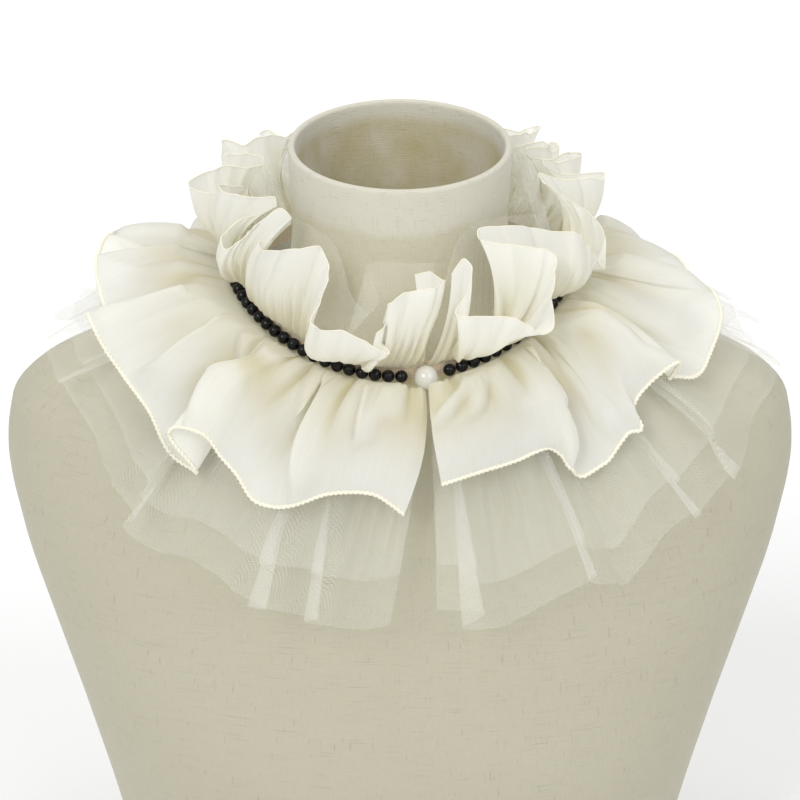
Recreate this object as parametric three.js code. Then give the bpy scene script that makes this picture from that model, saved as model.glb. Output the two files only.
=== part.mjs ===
// Ruffled detachable collar on a linen-covered dress form.
// Millimetres, +Z up. The wearer's front faces -Y, and the origin is the middle of the form's base.
//
// The collar is a ribbon band round the root of the neck. A chiffon frill with a net frill inside it stands
// up from the band's top edge. A chiffon frill over two longer net frills falls from its bottom edge.
// A string of black beads lies on the band, and a pearl button closes it at the front.
//
// Angles are in degrees round the neck, from the front (-Y) towards +X.
import * as THREE from "three";

// ---------------------------------------------------------------- driving sizes
const CLOTH = 1.0; // thickness of every cloth wall
const SEAM = 0.35; // air between two pieces that are sewn together

const FORM_HEIGHT = 430; // base to the middle of the neck's rim
const RIM_TILT = 5.3; // degrees, the neck's rim is lower at the front
const NECK_TALL = 56; // from the rim to where the neck runs out into the shoulders
const SHELL = 3.4; // wall of the form at the neck
const WELL_DEPTH = 150; // depth of the hollow in the neck

const BAND_HALF_WIDTH = 77; // the band's oval, to the middle of its wall
const BAND_FRONT = 76;
const BAND_BACK = 63;
const BAND_TALL = 10;
const BAND_LEVEL = 367; // height of the band's middle at the sides
const BAND_FRONT_DROP = 23.5;
const BAND_BACK_RISE = 5;
const OPENING = 8.5; // angle at which the collar opens
const OPENING_GAP = 0.8; // degrees between the band's ends
const SEWN_OUT = 0.4; // the frills are sewn this far outside the middle of the band's wall

const BEAD = 6.0;
const BEAD_PITCH = 6.1;
const CORD = 2.2; // the string of beads where it is thinnest
const BEADS_FROM = OPENING + 8.3; // angles between which the beads lie
const BEADS_TO = OPENING + 353;
const PEARL = 11.4;
const PEARL_DROP = 0.3; // the pearl's middle below the band's

const STAND_WIDTH = 54; // from the band to the rim of the standing chiffon frill
const FALL_WIDTH = 76; // from the band to the hem of the falling chiffon frill

const LINEN = 0xd8d2bd;
const RIBBON = 0xd9c7a8;
const JET = 0x101012;
const LUSTRE = 0xf2efe6;
const CREAM = 0xf4efd9;
const NET = 0xf7f6f0;

// ---------------------------------------------------------------- small helpers
const radians = (angle) => (angle * Math.PI) / 180;
const lerp = (a, b, t) => a + (b - a) * t;
const clamp = (v, low, high) => Math.min(high, Math.max(low, v));
const smooth = (t) => t * t * (3 - 2 * t);
const around = (angle, radius, z) =>
  new THREE.Vector3(radius * Math.sin(radians(angle)), -radius * Math.cos(radians(angle)), z);

// An angle within one turn that starts at zero, and within one that is centred on zero.
const wrapped = (angle) => ((angle % 360) + 360) % 360;
const centred = (angle) => wrapped(angle + 180) - 180;

// One step of a Catmull-Rom curve from b to c.
function ease(a, b, c, d, t) {
  const left = (c - a) / 2;
  const right = (d - b) / 2;
  const t2 = t * t;
  const t3 = t2 * t;
  return (2 * t3 - 3 * t2 + 1) * b + (t3 - 2 * t2 + t) * left + (3 * t2 - 2 * t3) * c + (t3 - t2) * right;
}

// Reads a column of a table whose rows go once round the neck by angle.
function roundTable(rows, column) {
  return (angle) => {
    const count = rows.length;
    const past = wrapped(angle - rows[0].angle);
    let i = count - 1;
    while (rows[i].angle - rows[0].angle > past) i -= 1;
    const here = rows[i].angle - rows[0].angle;
    const next = i + 1 < count ? rows[i + 1].angle - rows[0].angle : 360;
    const at = (k) => rows[(k + count) % count][column];
    return ease(at(i - 1), at(i), at(i + 1), at(i + 2), (past - here) / (next - here));
  };
}

// Reads a column of a table whose rows go from top to bottom by drop.
function dropTable(rows, column) {
  return (drop) => {
    let i = 0;
    while (i < rows.length - 2 && rows[i + 1].drop < drop) i += 1;
    const at = (k) => rows[clamp(k, 0, rows.length - 1)][column];
    const t = clamp((drop - rows[i].drop) / (rows[i + 1].drop - rows[i].drop), 0, 1);
    return lerp(at(i), at(i + 1), t);
  };
}

function solid(name, positions, indices, colour, roughness = 0.8) {
  const geometry = new THREE.BufferGeometry();
  geometry.setAttribute("position", new THREE.Float32BufferAttribute(positions, 3));
  geometry.setIndex(indices);
  geometry.computeVertexNormals();
  const mesh = new THREE.Mesh(
    geometry,
    new THREE.MeshStandardMaterial({ color: colour, roughness, metalness: 0, side: THREE.DoubleSide }),
  );
  mesh.name = name;
  return mesh;
}

// A closed solid through rings of equal point counts, with a flat cap on the first and the last ring.
function loft(name, rings, colour, roughness) {
  const sides = rings[0].length;
  const positions = [];
  const indices = [];
  rings.flat().forEach((p) => positions.push(p.x, p.y, p.z));
  for (let i = 0; i + 1 < rings.length; i += 1) {
    for (let j = 0; j < sides; j += 1) {
      const k = (j + 1) % sides;
      const [a, b, c, d] = [i * sides + j, i * sides + k, (i + 1) * sides + k, (i + 1) * sides + j];
      indices.push(a, b, c, a, c, d);
    }
  }
  for (const [ring, flip] of [[0, true], [rings.length - 1, false]]) {
    const middle = new THREE.Vector3();
    rings[ring].forEach((p) => middle.addScaledVector(p, 1 / sides));
    const centre = positions.length / 3;
    positions.push(middle.x, middle.y, middle.z);
    for (let j = 0; j < sides; j += 1) {
      const [a, b] = [ring * sides + j, ring * sides + ((j + 1) % sides)];
      indices.push(centre, ...(flip ? [b, a] : [a, b]));
    }
  }
  return solid(name, positions, indices, colour, roughness);
}

// Direction of a line at one of its points: half way between the ways in and out.
function heading(before, here, after) {
  const sum = new THREE.Vector3();
  if (before) sum.add(here.clone().sub(before).normalize());
  if (after) sum.add(after.clone().sub(here).normalize());
  return sum.normalize();
}

// A cloth wall on a grid of points, grid[row][column]. Rows run away from the seam.
function cloth(name, grid, colour) {
  const rows = grid.length;
  const columns = grid[0].length;
  const normals = grid.map((row, i) =>
    row.map((p, j) => {
      const along = heading(row[j - 1], p, row[j + 1]);
      const down = heading(grid[i - 1]?.[j], p, grid[i + 1]?.[j]);
      return down.cross(along).normalize();
    }),
  );
  const positions = [];
  for (const side of [1, -1]) {
    grid.forEach((row, i) =>
      row.forEach((p, j) => {
        const q = p.clone().addScaledVector(normals[i][j], (side * CLOTH) / 2);
        positions.push(q.x, q.y, q.z);
      }),
    );
  }
  const at = (side, i, j) => side * rows * columns + i * columns + j;
  const indices = [];
  const quad = (a, b, c, d) => indices.push(a, b, c, a, c, d);
  for (let i = 0; i + 1 < rows; i += 1) {
    for (let j = 0; j + 1 < columns; j += 1) {
      quad(at(0, i, j), at(0, i + 1, j), at(0, i + 1, j + 1), at(0, i, j + 1));
      quad(at(1, i, j), at(1, i, j + 1), at(1, i + 1, j + 1), at(1, i + 1, j));
    }
  }
  for (let j = 0; j + 1 < columns; j += 1) {
    quad(at(0, 0, j), at(0, 0, j + 1), at(1, 0, j + 1), at(1, 0, j));
    quad(at(0, rows - 1, j + 1), at(0, rows - 1, j), at(1, rows - 1, j), at(1, rows - 1, j + 1));
  }
  for (let i = 0; i + 1 < rows; i += 1) {
    quad(at(0, i + 1, 0), at(0, i, 0), at(1, i, 0), at(1, i + 1, 0));
    quad(at(0, i, columns - 1), at(0, i + 1, columns - 1), at(1, i + 1, columns - 1), at(1, i, columns - 1));
  }
  return solid(name, positions, indices, colour);
}

// ---------------------------------------------------------------- dress form
// Level sections of the form, by their drop below the rim. The exponent squares the oval off.
const FORM_SECTIONS = [
  { drop: 0, halfWidth: 53.5, front: 53.5, back: 53.5, exponent: 2.0 },
  { drop: 12, halfWidth: 53, front: 53, back: 53, exponent: 2.0 },
  { drop: 42, halfWidth: 52, front: 52.5, back: 53, exponent: 2.0 },
  { drop: 58, halfWidth: 53.5, front: 54.5, back: 55, exponent: 2.0 },
  { drop: 67, halfWidth: 57.5, front: 56.5, back: 58, exponent: 2.0 },
  { drop: 75, halfWidth: 68, front: 59, back: 63, exponent: 2.0 },
  { drop: 82, halfWidth: 88, front: 62, back: 69, exponent: 2.0 },
  { drop: 90, halfWidth: 113, front: 66, back: 76, exponent: 2.0 },
  { drop: 99, halfWidth: 140, front: 70, back: 82, exponent: 2.0 },
  { drop: 108, halfWidth: 164, front: 75, back: 87, exponent: 2.0 },
  { drop: 117, halfWidth: 181, front: 80, back: 91, exponent: 2.05 },
  { drop: 129, halfWidth: 191, front: 87, back: 95, exponent: 2.15 },
  { drop: 152, halfWidth: 194, front: 95, back: 100, exponent: 2.25 },
  { drop: 190, halfWidth: 188, front: 107, back: 104, exponent: 2.35 },
  { drop: 235, halfWidth: 175, front: 118, back: 103, exponent: 2.4 },
  { drop: 285, halfWidth: 160, front: 125, back: 98, exponent: 2.4 },
  { drop: 335, halfWidth: 148, front: 114, back: 92, exponent: 2.35 },
  { drop: 385, halfWidth: 138, front: 101, back: 87, exponent: 2.3 },
  { drop: 430, halfWidth: 131, front: 96, back: 85, exponent: 2.3 },
];
const FORM_SIDES = 44;
const LIP = 1.6; // rounding of the rim
const WELL_TAPER = 2; // how much further in the well's wall is at the foot of the neck
const WELL_FLOOR = 45; // radius of the well's floor
const formHalfWidth = dropTable(FORM_SECTIONS, "halfWidth");
const formFront = dropTable(FORM_SECTIONS, "front");
const formBack = dropTable(FORM_SECTIONS, "back");
const formExponent = dropTable(FORM_SECTIONS, "exponent");

// Distance from the form's axis to its skin, at a drop and an angle.
function formRadius(drop, angle) {
  const across = Math.abs(Math.sin(radians(angle))) / formHalfWidth(drop);
  const depth = Math.cos(radians(angle)) > 0 ? formFront(drop) : formBack(drop);
  const through = Math.abs(Math.cos(radians(angle))) / depth;
  const n = formExponent(drop);
  return (across ** n + through ** n) ** (-1 / n);
}

// Height of the form's skin where a line straight down at this angle and radius meets it.
function formTop(angle, radius) {
  let low = 0;
  let high = 200;
  for (let i = 0; i < 30; i += 1) {
    const middle = (low + high) / 2;
    if (formRadius(middle, angle) < radius) low = middle;
    else high = middle;
  }
  return FORM_HEIGHT - high;
}

function dressForm() {
  const tilt = Math.tan(radians(RIM_TILT));
  const sides = Array.from({ length: FORM_SIDES }, (_, j) => (j * 360) / FORM_SIDES);
  const ring = (drop, inset) =>
    sides.map((angle) => {
      const p = around(angle, formRadius(drop, angle) - inset, FORM_HEIGHT - drop);
      p.z += p.y * tilt * smooth(clamp(1 - drop / NECK_TALL, 0, 1));
      return p;
    });
  const outside = FORM_SECTIONS.slice(1).reverse();
  const rings = outside.map(({ drop }) => ring(drop, 0));
  rings.push(ring(LIP, 0), ring(0, LIP), ring(0, SHELL - LIP), ring(LIP, SHELL));
  rings.push(ring(NECK_TALL, SHELL + WELL_TAPER));
  rings.push(sides.map((angle) => around(angle, WELL_FLOOR, FORM_HEIGHT - WELL_DEPTH)));
  return loft("dress_form", rings, LINEN, 0.9);
}

// ---------------------------------------------------------------- band, beads and pearl
function bandRadius(angle) {
  const depth = Math.cos(radians(angle)) > 0 ? BAND_FRONT : BAND_BACK;
  return 1 / Math.hypot(Math.sin(radians(angle)) / BAND_HALF_WIDTH, Math.cos(radians(angle)) / depth);
}
function bandLevel(angle) {
  const forward = Math.cos(radians(angle));
  return BAND_LEVEL + (forward > 0 ? -BAND_FRONT_DROP : BAND_BACK_RISE) * forward ** 2;
}
// From the band's middle to the edge of the chiffon that is sewn to it, up or down.
const SEAM_UP = BAND_TALL / 2 + SEAM + CLOTH / 2;
// A point off the band: out from its middle line, and up.
const offBand = (angle, out, up) => around(angle, bandRadius(angle) + out, bandLevel(angle) + up);

const BAND_STEPS = 60;
function neckBand() {
  const corners = [[-1, -1], [-1, 1], [1, 1], [1, -1]];
  const rings = Array.from({ length: BAND_STEPS + 1 }, (_, i) => {
    const angle = OPENING + lerp(OPENING_GAP / 2, 360 - OPENING_GAP / 2, i / BAND_STEPS);
    return corners.map(([out, up]) => offBand(angle, (out * CLOTH) / 2, (up * BAND_TALL) / 2));
  });
  return loft("neck_band", rings, RIBBON);
}

// The string of beads: rings along the line on which they lie, by their share of a bead's pitch.
const BEAD_SIDES = 6;
const BEAD_RINGS = [
  { at: 0, radius: CORD / 2 },
  { at: 0.24, radius: 2.75 },
  { at: 0.76, radius: 2.75 },
];
function beadString() {
  const steps = 1440;
  const out = CLOTH / 2 + SEAM + BEAD / 2;
  const line = new THREE.CatmullRomCurve3(
    Array.from({ length: steps + 1 }, (_, i) => offBand(lerp(BEADS_FROM, BEADS_TO, i / steps), out, 0)),
  );
  line.arcLengthDivisions = steps;
  const count = Math.floor(line.getLength() / BEAD_PITCH);
  const stations = Array.from({ length: count }, (_, i) =>
    BEAD_RINGS.map(({ at, radius }) => ({ share: (i + at) / count, radius })),
  ).flat();
  stations.push({ share: 1, radius: CORD / 2 });
  const rings = stations.map(({ share, radius }) => {
    const p = line.getPointAt(share);
    const outward = new THREE.Vector3(p.x, p.y, 0).normalize();
    const upward = line.getTangentAt(share).cross(outward).normalize();
    return Array.from({ length: BEAD_SIDES }, (_, j) => {
      const a = (j * 2 * Math.PI) / BEAD_SIDES;
      const [east, north] = [radius * Math.cos(a), radius * Math.sin(a)];
      return p.clone().addScaledVector(outward, east).addScaledVector(upward, north);
    });
  });
  return loft("bead_string", rings, JET, 0.15);
}

function pearl() {
  const mesh = new THREE.Mesh(
    new THREE.SphereGeometry(PEARL / 2, 16, 10),
    new THREE.MeshStandardMaterial({ color: LUSTRE, roughness: 0.2, metalness: 0 }),
  );
  mesh.position.copy(offBand(OPENING, CLOTH / 2 + SEAM + PEARL / 2, -PEARL_DROP));
  mesh.name = "pearl_button";
  return mesh;
}

// ---------------------------------------------------------------- falling net frills
// Both net frills lie on one base surface, which runs from the band's bottom edge to the hem of the longer.
// Each row gives that hem's place, how high the surface arches on the way, and how far down it the shorter
// frill reaches.
const FALL = [
  { angle: 8, hem: 131, level: 248, arch: 4, reach: 0.8 },
  { angle: 20, hem: 135, level: 238, arch: 4, reach: 0.82 },
  { angle: 38, hem: 147, level: 262, arch: 4, reach: 0.84 },
  { angle: 58, hem: 163, level: 279, arch: 5, reach: 0.84 },
  { angle: 72, hem: 172, level: 294, arch: 7, reach: 0.84 },
  { angle: 90, hem: 184, level: 314, arch: 9, reach: 0.84 },
  { angle: 120, hem: 178, level: 310, arch: 10, reach: 0.84 },
  { angle: 150, hem: 160, level: 300, arch: 8, reach: 0.84 },
  { angle: 180, hem: 150, level: 296, arch: 6, reach: 0.84 },
  { angle: 210, hem: 158, level: 300, arch: 8, reach: 0.84 },
  { angle: 240, hem: 172, level: 310, arch: 10, reach: 0.84 },
  { angle: 270, hem: 174, level: 322, arch: 8, reach: 0.84 },
  { angle: 286, hem: 160, level: 304, arch: 6, reach: 0.84 },
  { angle: 298, hem: 155, level: 289, arch: 5, reach: 0.84 },
  { angle: 312, hem: 150, level: 270, arch: 4, reach: 0.84 },
  { angle: 334, hem: 138, level: 250, arch: 4, reach: 0.82 },
  { angle: 352, hem: 132, level: 238, arch: 4, reach: 0.8 },
];
const fallHem = roundTable(FALL, "hem");
const fallLevel = roundTable(FALL, "level");
const fallArch = roundTable(FALL, "arch");
const shortReach = roundTable(FALL, "reach");

// The pleats of the net frills: where each is, how high it stands at the hem, and its half width in degrees.
const NET_PLEATS = [
  { angle: 14, height: 9, spread: 3.5 },
  { angle: 36, height: 8, spread: 3 },
  { angle: 56, height: 9, spread: 3 },
  { angle: 66, height: 9, spread: 3.5 },
  { angle: 86, height: 8, spread: 4 },
  { angle: 104, height: 8, spread: 4 },
  { angle: 124, height: 7, spread: 4 },
  { angle: 146, height: 8, spread: 4 },
  { angle: 168, height: 7, spread: 4 },
  { angle: 190, height: 8, spread: 4 },
  { angle: 212, height: 7, spread: 4 },
  { angle: 234, height: 8, spread: 4 },
  { angle: 256, height: 7, spread: 4 },
  { angle: 274, height: 7, spread: 4 },
  { angle: 284, height: 9, spread: 3 },
  { angle: 307, height: 10, spread: 4 },
  { angle: 333, height: 10, spread: 4 },
  { angle: 343, height: 8, spread: 3 },
];
const CLEARANCE = 3.4; // from the form's skin to the base surface, measured straight up
const NET_RISE = CLOTH + SEAM; // one net frill over the other at the seam
const NET_APART = 3.5; // and from a third of the way down
const PLEAT_GROWTH = 1.3; // power by which the pleats rise from the seam to the hem

const bump = (x) => (Math.abs(x) < 1 ? Math.cos((x * Math.PI) / 2) ** 2 : 0);
const pleatAt = (angle, pleat) => pleat.height * bump(centred(angle - pleat.angle) / (2 * pleat.spread));
const pleats = (angle) => Math.max(...NET_PLEATS.map((pleat) => pleatAt(angle, pleat)));

// Angles of the nets' front edges, at the band and at the hem, from the opening: they part downwards.
const NET_START = { seam: 0.8, hem: -1.2 };
const NET_END = { seam: 359.2, hem: 349.5 };
function fallAngle(u, t) {
  return OPENING + lerp(lerp(NET_START.seam, NET_START.hem, t), lerp(NET_END.seam, NET_END.hem, t), u);
}

// A point of the base surface, and the direction square to it in the plane through the neck's axis.
function fallBase(angle, t) {
  const start = { r: bandRadius(angle) + SEWN_OUT, z: bandLevel(angle) - SEAM_UP - 2 * NET_RISE - SEAM / 2 };
  const end = { r: fallHem(angle), z: fallLevel(angle) };
  const length = Math.hypot(end.r - start.r, end.z - start.z);
  const [er, ez] = [(end.r - start.r) / length, (end.z - start.z) / length];
  const arch = 4 * t * (1 - t) * fallArch(angle);
  const slope = (4 * (1 - 2 * t) * fallArch(angle)) / length;
  const r = start.r + er * length * t - ez * arch;
  const z = Math.max(start.z + ez * length * t + er * arch, formTop(angle, r) + CLEARANCE);
  const tangent = { r: er - ez * slope, z: ez + er * slope };
  const size = Math.hypot(tangent.r, tangent.z);
  return { r, z, nr: -tangent.z / size, nz: tangent.r / size };
}

const longLift = (angle, t) => pleats(angle) * t ** PLEAT_GROWTH;
const shortLift = (angle, t) => longLift(angle, t) + lerp(NET_RISE, NET_APART, smooth(clamp(3 * t, 0, 1)));

// Height of the shorter net's middle where a line straight down at this angle and radius meets it.
function netTop(angle, radius) {
  let low = 0;
  let high = 1;
  const at = (t) => {
    const { r, z, nr, nz } = fallBase(angle, t);
    return { r: r + nr * shortLift(angle, t), z: z + nz * shortLift(angle, t) };
  };
  for (let i = 0; i < 24; i += 1) {
    const middle = (low + high) / 2;
    if (at(middle).r < radius) low = middle;
    else high = middle;
  }
  return at(low).z;
}

const NET_COLUMNS = 104;
const NET_ROWS = [0, 0.14, 0.4, 0.7, 1]; // shares of the shorter frill; the longer has one row more

function netFrill(name, lift, isLong) {
  const columns = Array.from({ length: NET_COLUMNS + 1 }, (_, j) => {
    const u = j / NET_COLUMNS;
    const shares = NET_ROWS.map((row) => row * shortReach(fallAngle(u, 0.5)));
    if (isLong) shares.push(1);
    return shares.map((t) => {
      const angle = fallAngle(u, t);
      const { r, z, nr, nz } = fallBase(angle, t);
      return around(angle, r + nr * lift(angle, t), z + nz * lift(angle, t));
    });
  });
  return cloth(name, columns[0].map((_, i) => columns.map((column) => column[i])), NET);
}

// ---------------------------------------------------------------- chiffon frills
// A chiffon frill is gathered on the band, and its free edge wanders through the corners of a table.
// Each corner is [angle, radius, height]. A row is one fold.

// The falling frill. Heights are above the form's base.
const FALL_FOLDS = [
  { rise: [9.5, 115, 304], crest: [24, 112, 308], fall: [38.5, 118, 310], valley: [42, 123, 297] },
  { rise: [47, 129, 302], crest: [52, 134, 307], fall: [55.5, 137, 316], valley: [56.5, 131, 324] },
  { rise: [61, 134, 334], crest: [65.5, 143, 341], fall: [66.5, 139, 329], valley: [69.5, 148, 327] },
  { rise: [76, 153, 338], crest: [82, 156, 350], fall: [89, 151, 355], valley: [96, 141, 342] },
  { rise: [101, 146, 352], crest: [108, 143, 356], fall: [114, 134, 347], valley: [118, 126, 334] },
  { rise: [123, 131, 343], crest: [128, 134, 348], fall: [134, 128, 342], valley: [139, 118, 325] },
  { rise: [144, 121, 336], crest: [150, 124, 342], fall: [155, 119, 334], valley: [160, 111, 320] },
  { rise: [165, 115, 331], crest: [171, 118, 338], fall: [176, 115, 331], valley: [181, 107, 318] },
  { rise: [187, 113, 330], crest: [192, 117, 337], fall: [197, 115, 331], valley: [202, 109, 319] },
  { rise: [208, 117, 333], crest: [213, 122, 341], fall: [218, 120, 336], valley: [223, 115, 324] },
  { rise: [229, 126, 342], crest: [235, 132, 350], fall: [240, 130, 344], valley: [244, 128, 336] },
  { rise: [249, 141, 356], crest: [256, 150, 369], fall: [266, 149, 364], valley: [278, 143, 344] },
  { rise: [282, 149, 352], crest: [286, 152, 355], fall: [290, 148, 345], valley: [294, 143, 335] },
  { rise: [302, 138, 322], crest: [307.5, 137, 308], valley: [313.5, 132, 299] },
  { crest: [311, 141, 322], fall: [316.5, 132, 322], valley: [319.5, 128, 312] },
  { rise: [323.5, 127, 304], crest: [328, 127, 293], fall: [334, 125, 292], valley: [344, 117, 299] },
  { rise: [354, 116, 300], crest: [361, 116, 290] },
];

// The standing frill. Heights are above the band. Each fold goes out and comes back to a tuck by the neck.
const STAND_FOLDS = [
  { tuck: [26, 66, 45], near: [18, 86, 34], out: [41.5, 105, 12], far: [55, 89, 27] },
  { tuck: [46, 64, 46], near: [66, 77, 37], out: [77, 99, 10], far: [86, 93, 27] },
  { tuck: [91, 70, 44], near: [96, 87, 38], out: [101, 101, 34], far: [106, 97, 36] },
  { tuck: [110, 70, 44], near: [115, 88, 38], out: [120, 105, 36], far: [125, 98, 38] },
  { tuck: [129, 70, 44], near: [134, 87, 40], out: [140, 102, 37], far: [146, 95, 38] },
  { tuck: [150, 69, 44], near: [156, 84, 40], out: [162, 98, 38], far: [168, 92, 38] },
  { tuck: [172, 68, 44], near: [179, 82, 40], out: [185, 96, 38], far: [191, 90, 38] },
  { tuck: [195, 68, 44], near: [202, 84, 40], out: [208, 98, 38], far: [214, 94, 38] },
  { tuck: [218, 69, 44], near: [224, 86, 40], out: [231, 102, 38], far: [238, 97, 38] },
  { tuck: [242, 68, 44], near: [248, 87, 40], out: [257, 104, 36], far: [264, 92, 38] },
  { tuck: [270, 68, 38], near: [276, 82, 25], out: [282, 89, 18], far: [289, 81, 25] },
  { tuck: [294, 66, 36], near: [299, 74, 33], out: [305, 80, 31], far: [313, 75, 38] },
  { tuck: [328, 68, 49], near: [334, 94, 28], out: [338, 103, 22], far: [353, 94, 17] },
  { tuck: [362, 86, 36], near: [375, 68, 43] },
];
const CORNER = 0.5; // how far a corner is rounded off, from 0 to 1
const PULL = 0.5; // how far a fold's gathers follow its corner round the band, from 0 to 1
const LEAST_STEP = 2; // degrees of band between the roots of neighbouring corners
const FRONT_EDGE = 0.9; // degrees from the opening to a chiffon frill's front edge, at the band
const STEPS = 2; // columns from one corner to the next

// A table's corners in order, with their heights measured from a level that follows the angle.
function cornersOf(folds, levelAt) {
  const corners = folds.flatMap((fold) => Object.values(fold));
  return openFolds(
    corners.map(([angle, radius, height]) => ({
      angle,
      point: around(angle, radius, levelAt(angle) + height),
    })),
  );
}

// Where the edge doubles back it goes round a bight, so that the walls stay apart.
const BIGHT = 4.5;
const DOUBLED_BACK = -0.5; // cosine of the turn that calls for one
function openFolds(corners) {
  return corners.flatMap((corner, i) => {
    const [before, after] = [corners[i - 1]?.point, corners[i + 1]?.point];
    if (!before || !after) return [corner];
    const here = corner.point;
    const turned = here.clone().sub(before).normalize().dot(after.clone().sub(here).normalize());
    if (turned > DOUBLED_BACK) return [corner];
    const aside = heading(before, here, after).multiplyScalar(BIGHT / 2);
    return [-1, 1].map((side) => ({ angle: corner.angle, point: here.clone().addScaledVector(aside, side) }));
  });
}

// Angles at which the corners' gathers meet the band: spread by the length of the free edge, then pulled
// towards the corners' own angles, and always in order.
function rootsOf(corners) {
  const [first, last] = [OPENING + FRONT_EDGE, OPENING + 360 - FRONT_EDGE];
  const walked = [0];
  corners.slice(1).forEach(({ point }, i) => walked.push(walked[i] + point.distanceTo(corners[i].point)));
  const wanted = corners.map(({ angle }, i) =>
    lerp(((last - first) * walked[i]) / walked.at(-1), angle - first, PULL),
  );
  const ordered = [0];
  for (let i = 1; i < wanted.length; i += 1) {
    ordered.push(ordered[i - 1] + Math.max(LEAST_STEP, wanted[i] - wanted[i - 1]));
  }
  return ordered.map((v) => lerp(first, last, v / ordered.at(-1)));
}

// Columns of a gathered frill: the angle at which each leaves the band, and its point on the free edge.
function gather(corners) {
  const roots = rootsOf(corners);
  const at = (k) => corners[clamp(k, 0, corners.length - 1)].point;
  const along = (i, t) =>
    new THREE.Vector3(...["x", "y", "z"].map((axis) => {
      const curved = ease(at(i - 1)[axis], at(i)[axis], at(i + 1)[axis], at(i + 2)[axis], t);
      return lerp(lerp(at(i)[axis], at(i + 1)[axis], t), curved, CORNER);
    }));
  const columns = [];
  for (let i = 0; i + 1 < corners.length; i += 1) {
    for (let k = 0; k < STEPS; k += 1) {
      columns.push({ root: lerp(roots[i], roots[i + 1], k / STEPS), edge: along(i, k / STEPS) });
    }
  }
  columns.push({ root: roots.at(-1), edge: corners.at(-1).point });
  return columns;
}

// A wall from the band to the free edge. Cloth that is wider than the straight way there bellies outwards,
// by a share of what it has to spare and by a limit.
function gatheredFrill(name, columns, { rows, start, width, belly, most, colour, rest }) {
  const made = columns.map(({ root, edge }) => {
    const from = start(root);
    const reach = Math.hypot(edge.x, edge.y) - Math.hypot(from.x, from.y);
    const rise = edge.z - from.z;
    const slack = Math.sqrt(Math.max(0, width ** 2 - from.distanceTo(edge) ** 2));
    const side = Math.sign(reach) * Math.sign(rise) || 1;
    const size = Math.hypot(reach, rise);
    const out = new THREE.Vector3(edge.x, edge.y, 0).normalize().multiplyScalar(Math.abs(rise) / size);
    out.z = (-side * Math.abs(reach)) / size;
    const middle = from.clone().lerp(edge, 0.5).addScaledVector(out, Math.min(slack * belly(edge), most));
    return rows.map((t) => {
      const point = from.clone().multiplyScalar((1 - t) ** 2);
      point.addScaledVector(middle, 2 * t * (1 - t)).addScaledVector(edge, t * t);
      return rest ? rest(point, t) : point;
    });
  });
  return cloth(name, rows.map((_, i) => made.map((column) => column[i])), colour);
}

// Room that both chiffon frills leave for the beads, and for the pearl at the opening. Beyond the trim the
// cloth may come back at a slope.
const TRIM_AIR = 2.6;
const TRIM_SLOPE = 1.2;
const PEARL_REACH = 12; // degrees to each side of the pearl
function trimRoom(angle, radius) {
  const atPearl = bump(centred(angle - OPENING) / PEARL_REACH);
  const deep = lerp(BEAD, PEARL, atPearl) + 2;
  const tall = lerp(BEAD / 2, PEARL / 2 + PEARL_DROP, atPearl) + TRIM_AIR;
  return tall - TRIM_SLOPE * Math.max(0, radius - bandRadius(angle) - deep);
}
const angleOf = (p) => THREE.MathUtils.radToDeg(Math.atan2(p.x, -p.y));

// The falling chiffon keeps under the trim and above the net, by OVER_NET from its first rows on.
const OVER_NET = 4.8;
function restOnNet(point, t) {
  const [angle, radius] = [angleOf(point), Math.hypot(point.x, point.y)];
  point.z = Math.min(point.z, bandLevel(angle) - trimRoom(angle, radius));
  point.z = Math.max(point.z, netTop(angle, radius) + lerp(NET_RISE + SEAM, OVER_NET, clamp(6 * t, 0, 1)));
  return point;
}

// The standing chiffon keeps above the trim.
function restOnTrim(point) {
  const angle = angleOf(point);
  point.z = Math.max(point.z, bandLevel(angle) + trimRoom(angle, Math.hypot(point.x, point.y)));
  return point;
}

// The net inside the standing chiffon goes a little way out into each fold.
const NET_TUCK = 60; // radius of its tucks
const NET_OUT = 0.2; // share of the way from there to the chiffon's corners
const NET_PEEK = 4; // how far it stands above the chiffon
const NET_WAVE = 3; // half the angle of a wave's top

function netFolds(folds) {
  return folds.map(({ tuck, near, out }) => {
    const inner = [tuck[0], NET_TUCK, tuck[2] + NET_PEEK];
    if (!out) return { inner };
    const angle = (near[0] + out[0]) / 2;
    const radius = lerp(NET_TUCK, (near[1] + out[1]) / 2, NET_OUT);
    const height = (near[2] + tuck[2]) / 2 + NET_PEEK;
    return { inner, front: [angle - NET_WAVE, radius, height], back: [angle + NET_WAVE, radius, height] };
  });
}

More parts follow.
